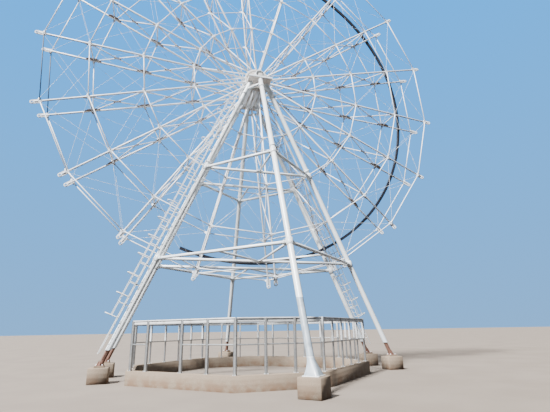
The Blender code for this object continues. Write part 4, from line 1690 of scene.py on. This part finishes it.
@dataclass
class BearingHeads:
    """The level platforms that join three legs, each with the pillow block of the shaft."""

    tripod: Tripod
    half_width: float = 0.80
    near: float = 1.30
    far: float = 2.17
    thickness: float = 0.20
    plate: float = 0.012
    rim_depth: float = 0.14
    rise: float = 0.30
    beam_width: float = 0.12
    ribs: tuple[float, ...] = (-0.48, -0.28, 0.28, 0.48)
    rib_thickness: float = 0.02
    web: Triple = (0.02, 0.10, 0.20)
    block: Pair = (1.5205, 1.9195)
    housing_radius: float = 0.31
    bore_radius: float = 0.186
    foot_half_width: float = 0.45
    foot_thickness: float = 0.05
    foot_bolt: Pair = (0.39, 0.11)
    foot_web: Triple = (0.12, 0.22, 0.016)
    foot_web_offset: float = 0.16
    lug: Triple = (0.10, 0.30, 0.09)
    lug_bolt: Pair = (0.06, 0.10)
    cover: Triple = (0.016, 0.255, 0.262)
    cover_bolts: tuple[float, int] = (0.235, 8)
    strut_width: float = 0.16
    strut_side_drop: float = 1.04
    strut_centre_drop: float = 0.90

    def stub(self, sketch: Sketch, leg: Leg, face: Face) -> None:
        """Draw a stub tube from its flange up to the platform, with ribs under the plate.

        Args:
            sketch: The head's sketch.
            leg: Which leg.
            face: Which tripod.
        """
        tripod = self.tripod
        floor = tripod.hub_height - self.rise - self.thickness
        low = tripod.point(leg, face, tripod.flange_height(leg))
        high = tripod.point(leg, face, floor + self.thickness / 2.0)
        up = tripod.up(leg, face)
        profile = [(FIT, tripod.flange_radius), (tripod.flange_plate, tripod.flange_radius),
                   (tripod.flange_plate, tripod.radius), ((high - low).length, tripod.radius)]
        sketch.lathe(low, up, profile, LEG_PAINT, 32, tripod.flat(leg))
        sketch.circle_of_bolts(low + up * tripod.flange_plate, up, tripod.bolt_circle,
                               tripod.flange_bolts, Bolt.FLANGE)
        foot = tripod.point(leg, face, floor)
        sink, out, down = self.web
        web = [(tripod.radius - sink, 0.004), (tripod.radius + out, 0.004),
               (tripod.radius - sink, -down)]
        for way in (X_AXIS, -X_AXIS, Y_AXIS, -Y_AXIS):
            sketch.plate(web, foot, way, Z_AXIS, self.plate, LEG_PAINT)

    def platform(self, sketch: Sketch, face: Face) -> None:
        """Draw the box of beams and plates on top of the three stubs.

        Args:
            sketch: The head's sketch.
            face: Which tripod.
        """
        top = self.tripod.hub_height - self.rise
        middle = Z_AXIS * (top - self.rim_depth / 2.0)
        out = Y_AXIS * face.value
        half = self.beam_width / 2.0
        for reach in (self.near + half, self.far - half):
            centre = out * reach + middle
            sketch.bar(centre - X_AXIS * self.half_width, centre + X_AXIS * self.half_width,
                       self.beam_width, self.rim_depth, Y_AXIS, LEG_PAINT, soft=0.010)
        for aside in SIDES:
            centre = X_AXIS * aside * (self.half_width - half) + middle
            sketch.bar(centre + out * (self.near + half), centre + out * (self.far - half),
                       self.beam_width, self.rim_depth - 0.004, X_AXIS, LEG_PAINT, soft=0.008)
        # The ribs and the bottom plate take the warm cream of painted underside shade; the top plate
        # stays white
        for aside in self.ribs:
            centre = X_AXIS * aside + Z_AXIS * (top - self.thickness / 2.0)
            sketch.bar(centre + out * (self.near + half), centre + out * (self.far - half),
                       self.rib_thickness, self.thickness - 0.02, X_AXIS, HEAD_UNDERSIDE_SHADE, soft=0.003)
        centre = out * (self.near + self.far) / 2.0
        cover = rectangle(self.half_width - self.plate, (self.far - self.near) / 2.0 - self.plate)
        for drop, finish in ((0.008, LEG_PAINT), (self.rim_depth + 0.004, HEAD_UNDERSIDE_SHADE)):
            sketch.plate(cover, centre + Z_AXIS * (top - drop), X_AXIS, Y_AXIS, self.plate, finish)

    def pillow_block(self, sketch: Sketch, face: Face) -> None:
        """Draw the cast housing round the shaft, its foot, covers and bolts.

        Args:
            sketch: The head's sketch.
            face: Which tripod.
        """
        hub = Vector((0.0, 0.0, self.tripod.hub_height))
        out = Y_AXIS * face.value
        near, far = self.block
        middle = out * (near + far) / 2.0
        drop = self.rise - self.foot_thickness
        rim, hole = [], []
        for angle in half_steps(48):
            reach = self.housing_radius
            if sin(angle) < 0.0:
                reach = min(reach / max(abs(cos(angle)), TINY), drop / -sin(angle))
            rim.append((reach * cos(angle), reach * sin(angle)))
            hole.append((self.bore_radius * cos(angle), self.bore_radius * sin(angle)))
        rings = []
        for outline, share, depth in ((hole, 1.0, near), (rim, 0.97, near), (rim, 1.0, near + 0.012),
                                      (rim, 1.0, far - 0.012), (rim, 0.97, far), (hole, 1.0, far)):
            rings.append([hub + out * depth + Vector((x * share, 0.0, z * share))
                          for x, z in outline])
        sketch.loft(rings, LEG_PAINT, closed=True)
        foot = hub + middle - Z_AXIS * (self.rise - self.foot_thickness / 2.0)
        sketch.bar(foot - X_AXIS * self.foot_half_width, foot + X_AXIS * self.foot_half_width,
                   far - near, self.foot_thickness, Y_AXIS, LEG_PAINT, soft=0.008)
        foot_top = self.foot_thickness / 2.0
        for side in SIDES:
            lug = hub + middle + X_AXIS * side * (self.housing_radius - 0.02)
            long, wide, tall = self.lug
            sketch.bar(lug, lug + X_AXIS * side * long, wide, tall, Y_AXIS, LEG_PAINT, soft=0.006)
            for deep in SIDES:
                spot = Vector((side * self.lug_bolt[0], deep * self.lug_bolt[1], tall / 2.0))
                sketch.bolt(lug + spot, Z_AXIS, Bolt.HOUSING)
                spot = Vector((side * self.foot_bolt[0], deep * self.foot_bolt[1], foot_top))
                sketch.bolt(foot + spot, Z_AXIS, Bolt.BLOCK_FOOT)
                long, tall_web, thick = self.foot_web
                spot = Vector((side * (self.housing_radius - 0.01), deep * self.foot_web_offset,
                               foot_top))
                sketch.plate([(0.0, 0.0), (long, 0.0), (0.0, tall_web)], foot + spot,
                             X_AXIS * side, Z_AXIS, thick, LEG_PAINT)
        thick, inner, outer = self.cover
        cover = [(-thick, self.bore_radius), (-thick, inner), (0.0, outer), (0.0, self.bore_radius)]
        sketch.lathe(hub + out * far, out, cover, LEG_PAINT, 48, X_AXIS, closed=True)
        sketch.circle_of_bolts(hub + out * far, out, *self.cover_bolts, Bolt.COVER)
        ear = hub + middle + Z_AXIS * (self.housing_radius - 0.012)
        sketch.tube(ear, ear + Z_AXIS * 0.03, 0.06, LEG_PAINT, sides=16)

    def build(self) -> None:
        """Draw both heads."""
        for face in Face:
            sketch = Sketch()
            self.platform(sketch, face)
            self.pillow_block(sketch, face)
            for leg in Leg:
                self.stub(sketch, leg, face)
            hub_height = self.tripod.hub_height
            for leg in (Leg.LEFT, Leg.RIGHT):
                low = self.tripod.point(leg, face, hub_height - self.strut_side_drop)
                high = self.tripod.point(Leg.CENTRE, face, hub_height - self.strut_centre_drop)
                sketch.tube(low, high, self.strut_width, LEG_PAINT, sides=20)
            name = f"{face.word}_bearing_head"
            put(f"{name}_weldment", sketch.mesh(name), Body.SUPPORT, "leg_paint", name)


@dataclass
class BraceFrames:
    """The level triangles of tube that hold the legs together, clamped on sleeves."""

    tripod: Tripod
    lower_height: float = 6.31
    upper_height: float = 12.03
    tube_width: float = 0.17
    strut_width: float = 0.12
    sleeve_wall: float = 0.03
    sleeve_length: float = 0.36
    sleeve_bolt: float = 0.10
    flange_gap: float = 0.10
    flange_half: float = 0.03
    flange_share: float = 0.72
    bolt_share: float = 0.61
    flange_bolts: int = 8
    gusset: float = 0.30
    gusset_thickness: float = 0.016

    def sleeve(self, sketch: Sketch, leg: Leg, face: Face, height: float) -> None:
        """Draw the clamp round a leg, with its ears and bolts.

        Args:
            sketch: The frame's sketch.
            leg: Which leg.
            face: Which tripod.
            height: The frame's height.
        """
        centre = self.tripod.point(leg, face, height)
        up = self.tripod.up(leg, face)
        half = self.sleeve_length / 2.0
        inner = self.tripod.radius + 0.0004
        outer = self.tripod.radius + self.sleeve_wall
        shell = [(-half, inner), (-half, outer - 0.005), (0.005 - half, outer),
                 (half - 0.005, outer), (half, outer - 0.005), (half, inner)]
        flat = self.tripod.flat(leg)
        sketch.lathe(centre, up, shell, LEG_PAINT, 32, flat, closed=True)
        away, _ = across(up, centre - Vector((0.0, face.value * 3.0, height)))
        for lift in (-self.sleeve_bolt, self.sleeve_bolt):
            sketch.bolt(centre + away * (outer - 0.002) + up * lift, away, Bolt.SLEEVE)

    def frame(self, sketch: Sketch, face: Face, height: float, midspan: bool) -> None:
        """Draw one level frame.

        Args:
            sketch: The frame's sketch.
            face: Which tripod.
            height: The frame's height.
            midspan: Whether struts run to the middles of two sides.
        """
        left, right, centre = (self.tripod.point(leg, face, height)
                               for leg in (Leg.LEFT, Leg.RIGHT, Leg.CENTRE))
        middle = (left + right) / 2.0
        runs = [(left, right, self.tube_width), (left, centre, self.tube_width),
                (right, centre, self.tube_width), (middle, centre, self.strut_width)]
        if midspan:
            runs += [(middle, (side + centre) / 2.0, self.strut_width) for side in (left, right)]
        for start, end, width in runs:
            along = (end - start).normalized()
            clear = self.tripod.radius + self.sleeve_wall * 0.6
            first = start + along * (clear if start in (left, right, centre) else 0.0)
            last = end - along * (clear if end in (left, right, centre) else 0.0)
            sketch.tube(first, last, width, LEG_PAINT, sides=20)
        for start, end in ((left, right), (left, centre), (right, centre)):
            along = (end - start).normalized()
            for tip, way in ((start, along), (end, -along)):
                spot = tip + way * (self.tripod.radius + self.sleeve_wall + self.flange_gap)
                half, radius = self.flange_half, self.tube_width * self.flange_share
                sketch.lathe(spot, way, [(-half, radius), (half, radius)], LEG_PAINT)
                for side in SIDES:
                    sketch.circle_of_bolts(spot + way * side * half, way * side,
                                           self.tube_width * self.bolt_share, self.flange_bolts,
                                           Bolt.BRACE)
        inward = (centre - middle).normalized()
        wide = self.gusset
        plate = [(-wide, 0.0), (wide, 0.0), (0.55 * wide, 0.8 * wide), (-0.55 * wide, 0.8 * wide)]
        sketch.plate(plate, middle, X_AXIS, inward, self.gusset_thickness, LEG_PAINT)

    def build(self) -> None:
        """Draw the lower and the upper frame of each tripod."""
        for face in Face:
            for word, height in (("lower", self.lower_height), ("upper", self.upper_height)):
                sketch = Sketch()
                self.frame(sketch, face, height, word == "lower")
                for leg in Leg:
                    self.sleeve(sketch, leg, face, height)
                name = f"{face.word}_{word}_brace"
                put(f"{name}_tubes", sketch.mesh(name), Body.SUPPORT, "brace_paint", name)


@dataclass
class CagedLadders:
    """The ladders up two legs, with rungs, hoops, straps and brackets."""

    tripod: Tripod
    offset: float = 0.36
    half_width: float = 0.25
    stile: Pair = (0.016, 0.05)
    rail_offset: float = 0.71
    rail: Pair = (0.012, 0.035)
    cage_depth: float = 1.04
    cage_round: float = 0.22
    cage_steps: int = 6
    hoop_width: float = 0.05
    lowest_hoop: float = 16.0
    hoop_pitch: float = 1.057
    top_drop: float = 1.75
    bottom_drop: float = 17.75
    rung_pitch: float = 0.30
    rung_width: float = 0.024
    first_rung: float = 0.2
    bracket: Pair = (0.05, 0.012)
    bracket_drop: float = 0.38
    bracket_half_gap: float = 0.05
    tie: Pair = (0.03, 0.02)

    def build(self) -> None:
        """Draw the front ladder on the left leg and the back one on the right leg."""
        for leg, face in ((Leg.LEFT, Face.FRONT), (Leg.RIGHT, Face.BACK)):
            sketch = Sketch()
            self.ladder(sketch, leg, face)
            name = f"{face.word}_ladder"
            put(f"{name}_with_cage", sketch.mesh(name), Body.SUPPORT, "ladder_paint", name)

    def ladder(self, sketch: Sketch, leg: Leg, face: Face) -> None:
        """Draw one ladder and its cage.

        Args:
            sketch: The ladder's sketch.
            leg: Which leg.
            face: Which tripod.
        """
        tripod = self.tripod
        outward = Vector((leg.value, 0.0, tripod.side_slope)).normalized()

        def spot(drop: float, out: float, aside: float) -> Vector:
            """Return a point by its drop below the hub and its distances off the leg."""
            axis = tripod.point(leg, face, tripod.hub_height - drop)
            return axis + outward * out + Y_AXIS * aside

        down = spot(1.0, 0.0, 0.0) - spot(0.0, 0.0, 0.0)
        count = int((self.lowest_hoop - self.top_drop) / self.hoop_pitch) + 1
        highest = self.lowest_hoop - (count - 1) * self.hoop_pitch
        half = self.half_width
        for side in (-half, half):
            sketch.bar(spot(self.top_drop, self.offset, side),
                       spot(self.bottom_drop, self.offset, side), *self.stile, Y_AXIS,
                       LADDER_PAINT, soft=0.002)
        rung_start = self.top_drop + self.first_rung
        rungs = int((self.bottom_drop - rung_start) / self.rung_pitch * down.length)
        sketch.path([spot(rung_start, self.offset, -half), spot(rung_start, self.offset, half)],
                    self.rung_width, LADDER_PAINT, 8, rungs, down.normalized() * self.rung_pitch)
        curve = [(self.offset, -half)]
        round_off = self.cage_round
        for corner in SIDES:
            for step in range(self.cage_steps + 1):
                turn = pi / 2.0 * step / self.cage_steps
                swing = turn if corner < 0 else pi / 2.0 - turn
                curve.append((self.cage_depth - round_off + round_off * sin(swing),
                              corner * (half - round_off + round_off * cos(swing))))
        curve.append((self.offset, half))
        sketch.path([spot(highest, out, aside) for out, aside in curve], self.hoop_width,
                    LADDER_PAINT, 8, count, down * self.hoop_pitch)
        for side in (-half, half):
            sketch.bar(spot(highest, self.rail_offset, side),
                       spot(self.lowest_hoop, self.rail_offset, side), *self.rail, Y_AXIS,
                       LADDER_PAINT, soft=0.002)
        for index in range(1, count):
            drop = self.lowest_hoop - index * self.hoop_pitch + self.bracket_drop
            for side in SIDES:
                foot = spot(drop, tripod.radius * 0.9, side * self.bracket_half_gap)
                elbow = spot(drop, self.offset, side * half)
                end = spot(drop, self.rail_offset, side * half)
                for near, far in ((foot, elbow), (elbow, end)):
                    sketch.bar(near, far, *self.bracket, down, LADDER_PAINT, soft=0.002)
            sketch.bar(spot(drop, self.offset, -half), spot(drop, self.offset, half), *self.tie,
                       outward, LADDER_PAINT, soft=0.002)


@dataclass
class Station:
    """The low eight-sided frame round the feet, its kerb and the bay that is left open."""

    middle: float = -0.50
    half_width: float = 6.25
    front: float = 7.15
    back: float = 4.90
    flat_half_width: float = 1.98
    post_height: float = 2.30
    post_width: float = 0.10
    slim_share: float = 0.8
    break_rise: float = 0.05
    corner_width: float = 0.12
    foot_half: float = 0.09
    foot_plate: float = 0.012
    anchor: float = 0.068
    beam_depth: float = 0.20
    cap_depth: float = 0.05
    web_width: float = 0.03
    rail_height: float = 1.19
    rail_width: float = 0.06
    clip: Triple = (0.06, 0.07, 0.008)
    bay: float = 1.30
    entrance: Pair = (1.00, 2.12)
    kerb_width: float = 0.40
    kerb_height: float = 0.64
    kerb_soft: float = 0.02

    def corners(self) -> Ring:
        """Return the plan corners, counter-clockwise from the front left.

        Returns:
            The eight corners, on the ground.
        """
        slope = self.half_width - self.flat_half_width
        flat, wide = self.flat_half_width, self.half_width
        plan = [(-flat, -self.front), (flat, -self.front), (wide, slope - self.front),
                (wide, self.back - slope), (flat, self.back), (-flat, self.back),
                (-wide, self.back - slope), (-wide, slope - self.front)]
        return [Vector((self.middle + x, y, 0.0)) for x, y in plan]

    def posts(self, start: Vector, end: Vector) -> Ring:
        """Return evenly spaced points from one point to another."""
        bays = max(1, round((end - start).length / self.bay))
        return [start.lerp(end, index / bays) for index in range(bays + 1)]

    def post(self, sketch: Sketch, spot: Vector, along: Vector, width: float,
             stout: bool) -> None:
        """Draw one post with its base plate and anchor bolts.

        Args:
            sketch: The side's sketch.
            spot: The post's place on the ground plan.
            along: The side's direction.
            width: The width of the post's upper half.
            stout: Whether it is one thick zinc tube, not a white one on a slim zinc one.
        """
        seat = spot + Z_AXIS * (self.kerb_height + 0.0005)
        top = spot + Z_AXIS * (self.kerb_height + self.post_height - 0.02)
        break_height = spot + Z_AXIS * (self.kerb_height + self.rail_height + self.break_rise)
        low_width = width if stout else width * self.slim_share
        sketch.bar(seat, break_height, low_width, low_width, along, STATION_ZINC)
        sketch.bar(break_height, top, width, width, along,
                   STATION_ZINC if stout else STATION_WHITE)
        out = along.cross(Z_AXIS)
        sketch.plate(rectangle(self.foot_half, self.foot_half),
                     seat + Z_AXIS * self.foot_plate / 2.0, along, out, self.foot_plate,
                     STATION_ZINC)
        for a in SIDES:
            for b in SIDES:
                sketch.bolt(seat + along * a * self.anchor + out * b * self.anchor
                            + Z_AXIS * self.foot_plate, Z_AXIS, Bolt.POST)

    def side(self, sketch: Sketch, start: Vector, end: Vector, with_corners: bool,
             with_entrance: bool, stout: bool) -> None:
        """Draw one straight side of the frame.

        Args:
            sketch: The side's sketch.
            start: Its first corner.
            end: Its last corner.
            with_corners: Whether the two corner posts are part of it.
            with_entrance: Whether a bay is left open.
            stout: Whether its posts are the thick zinc ones.
        """
        along = (end - start).normalized()
        out = along.cross(Z_AXIS)
        inset = along * (0.0 if with_corners else self.corner_width / 2.0 + FIT)
        top = self.kerb_height + self.post_height
        cap = Z_AXIS * (top - self.cap_depth / 2.0)
        web = Z_AXIS * (top - (self.cap_depth + self.beam_depth) / 2.0)
        sketch.bar(start + inset + cap, end - inset + cap, self.post_width, self.cap_depth, out,
                   STATION_WHITE)
        sketch.bar(start + inset + web, end - inset + web, self.web_width,
                   self.beam_depth - self.cap_depth, out, STATION_WHITE)
        stretches = [(start, end)]
        if with_entrance:
            first = start + along * self.entrance[0]
            stretches = [(start, first), (first + along * self.entrance[1], end)]
        posts = [post for stretch in stretches for post in self.posts(*stretch)]
        width = self.post_width + (0.012 if stout else -0.006)
        for post in posts[1:-1]:
            self.post(sketch, post, along, width, stout)
        if with_corners:
            self.post(sketch, start, along, self.corner_width, stout)
            self.post(sketch, end, along, self.corner_width, stout)
        rail = Z_AXIS * (self.kerb_height + self.rail_height)
        for first, last in stretches:
            sketch.bar(first + inset + rail, last - inset + rail, self.rail_width, self.rail_width,
                       out, STATION_ZINC)
        half, tall, thick = self.clip
        for post in posts[1:-1]:
            for face in SIDES:
                spot = post + rail + out * face * self.rail_width / 2.0
                sketch.bar(spot - along * half, spot + along * half, tall, thick, Z_AXIS,
                           STATION_ZINC, soft=0.002)

    def kerb(self) -> None:
        """Draw the concrete kerb with worn edges."""
        sketch = Sketch()
        corners = self.corners()
        rings = []
        soft = self.kerb_soft
        half = self.kerb_width / 2.0
        spots = [(-half, 0.0), (half, 0.0), (half, self.kerb_height - soft),
                 (half - soft, self.kerb_height), (soft - half, self.kerb_height),
                 (-half, self.kerb_height - soft)]
        for index, corner in enumerate(corners):
            before = (corner - corners[index - 1]).normalized()
            after = (corners[(index + 1) % len(corners)] - corner).normalized()
            out = (before.cross(Z_AXIS) + after.cross(Z_AXIS)).normalized()
            stretch = 1.0 / out.dot(after.cross(Z_AXIS))
            rings.append([corner + out * reach * stretch + Z_AXIS * height
                          for reach, height in spots])
        sketch.loft(rings, CONCRETE, closed=True)
        put("station_kerb_concrete", sketch.mesh("kerb"), Body.SUPPORT, "concrete", "station_kerb")

    def build(self) -> None:
        """Draw the eight sides and the kerb."""
        corners = self.corners()
        words = ("front", "front_right", "right", "back_right", "back", "back_left", "left",
                 "front_left")
        for index, word in enumerate(words):
            sketch = Sketch()
            self.side(sketch, corners[index], corners[(index + 1) % len(corners)], index % 2 == 1,
                      word == "front_left", word in ("front_left", "front"))
            name = f"station_{word}"
            put(f"{name}_frame", sketch.mesh(name), Body.SUPPORT, "station_steel", name)
        self.kerb()


@dataclass
class Plinths:
    """The concrete blocks under the legs, with worn edges."""

    tripod: Tripod
    soft: float = 0.025

    def build(self) -> None:
        """Draw the six plinths."""
        for face in Face:
            for leg in Leg:
                sketch = Sketch()
                half = self.tripod.plinth_width / 2.0
                cut = half - self.soft
                outline = [(half, -cut), (half, cut), (cut, half), (-cut, half), (-half, cut),
                           (-half, -cut), (-cut, -half), (cut, -half)]
                height = self.tripod.plinth_height
                centre = self.tripod.point(leg, face, height)
                centre.z = height / 2.0
                sketch.plate(outline, centre, *self.tripod.plan(leg), height, CONCRETE, self.soft)
                name = f"{face.word}_{leg.word}_plinth"
                put(f"{name}_concrete", sketch.mesh(name), Body.SUPPORT, "concrete", name)


@dataclass(frozen=True)
class Sun:
    """One sun lamp: its strength, the angle it fills in the sky, and the way it shines."""

    name: str
    energy: float
    angle: float
    aim: Triple


@dataclass
class Studio:
    """Floor, light and camera."""

    suns: tuple[Sun, ...] = (Sun("key", 17.0, radians(8.0), (0.55, 0.36, -0.75)),
                             Sun("fill", 0.3, radians(60.0), (-0.7, 0.4, -0.5)),
                             Sun("back", 1.5, radians(30.0), (0.3, -0.8, -0.5)))
    eye: Vector = field(default_factory=lambda: Vector((-5.818, -24.692, 2.428)))
    yaw: float = radians(16.42)
    pitch: float = radians(17.02)
    roll: float = radians(-0.98)
    focal_pixels: float = 402.6
    sensor: float = 36.0
    farthest: float = 2000.0
    floor_radius: float = 600.0
    floor_corners: int = 96
    zenith: str = "36A2FA"
    haze: str = "6FA2D5"
    backdrop_strength: float = 1.7
    backdrop_top: float = 0.7
    sky_light: str = "6B7481"
    ground_light: str = "454140"
    horizon: float = 0.15

    def camera(self) -> None:
        """Stand the camera where the photograph was taken from."""
        ahead = Vector((sin(self.yaw) * cos(self.pitch), cos(self.yaw) * cos(self.pitch),
                        sin(self.pitch)))
        right = Vector((cos(self.yaw), -sin(self.yaw), 0.0))
        up = right.cross(ahead)
        rolled_right = right * cos(self.roll) + up * sin(self.roll)
        rolled_up = up * cos(self.roll) - right * sin(self.roll)
        lens = bpy.data.cameras.new("camera")
        lens.sensor_width = self.sensor
        lens.lens = self.focal_pixels * self.sensor / PHOTO_WIDTH
        lens.clip_end = self.farthest
        camera = linked("camera", lens)
        turn = Matrix((rolled_right, rolled_up, -ahead)).transposed().to_4x4()
        camera.matrix_world = Matrix.Translation(self.eye) @ turn
        bpy.context.scene.camera = camera

    def floor(self) -> None:
        """Lay the pale floor; it throws no light back, as if black cloth lay under the wheel."""
        turns = [2.0 * pi * index / self.floor_corners for index in range(self.floor_corners)]
        mesh = bpy.data.meshes.new("floor")
        mesh.from_pydata([(self.floor_radius * cos(turn), self.floor_radius * sin(turn), 0.0)
                          for turn in turns], [], [tuple(range(self.floor_corners))])
        mesh.materials.append(FLOOR.material())
        floor = linked("floor", mesh)
        floor.visible_diffuse = False

    def lights(self) -> None:
        """Light the wheel from the upper left, with cool light from above and warm from below."""
        world = bpy.data.worlds.new("studio")
        world.use_nodes = True
        tree = world.node_tree
        ambient = tree.nodes["Background"]
        way = add_node(tree, "ShaderNodeTexCoord").outputs["Generated"]
        rise = add_node(tree, "ShaderNodeSeparateXYZ", links={"Vector": way}).outputs["Z"]
        above = add_node(tree, "ShaderNodeMapRange",
                         {"From Min": -self.horizon, "From Max": self.horizon}, {"Value": rise})
        around = blended(tree, above.outputs["Result"], linear(self.ground_light),
                         linear(self.sky_light))
        tree.links.new(around, ambient.inputs["Color"])
        high = add_node(tree, "ShaderNodeMapRange", {"From Max": self.backdrop_top},
                        {"Value": rise})
        sky = blended(tree, high.outputs["Result"], linear(self.haze), linear(self.zenith))
        backdrop = add_node(tree, "ShaderNodeBackground", {"Strength": self.backdrop_strength},
                            {"Color": sky})
        seen = add_node(tree, "ShaderNodeLightPath").outputs["Is Camera Ray"]
        mixed = add_node(tree, "ShaderNodeMixShader", links={0: seen, 1: ambient.outputs[0],
                                                             2: backdrop.outputs[0]})
        tree.links.new(mixed.outputs[0], tree.nodes["World Output"].inputs["Surface"])
        bpy.context.scene.world = world
        for sun in self.suns:
            lamp = bpy.data.lights.new(sun.name, "SUN")
            lamp.energy = sun.energy
            lamp.angle = sun.angle
            light = linked(sun.name, lamp)
            light.rotation_euler = Vector(sun.aim).to_track_quat("-Z", "Y").to_euler()

    def build(self) -> None:
        """Set the whole stage."""
        self.camera()
        self.floor()
        self.lights()


def main() -> None:
    """Dress every sub-assembly in order."""
    logging.basicConfig(level=logging.INFO, format="%(name)s %(message)s")
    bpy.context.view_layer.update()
    hub = Vector(frame["joints"][0]["pos_m"])
    Studio().build()
    wheel = Wheel(hub)
    tripod = Tripod(hub.z)
    for part in (SpokeTrusses(wheel), RimTies(wheel), TieRods(wheel), DriveRing(wheel),
                 HubDrum(wheel), Legs(tripod), BearingHeads(tripod), BraceFrames(tripod),
                 CagedLadders(tripod), Station(), Plinths(tripod)):
        part.build()


if __name__ == "__main__":
    main()
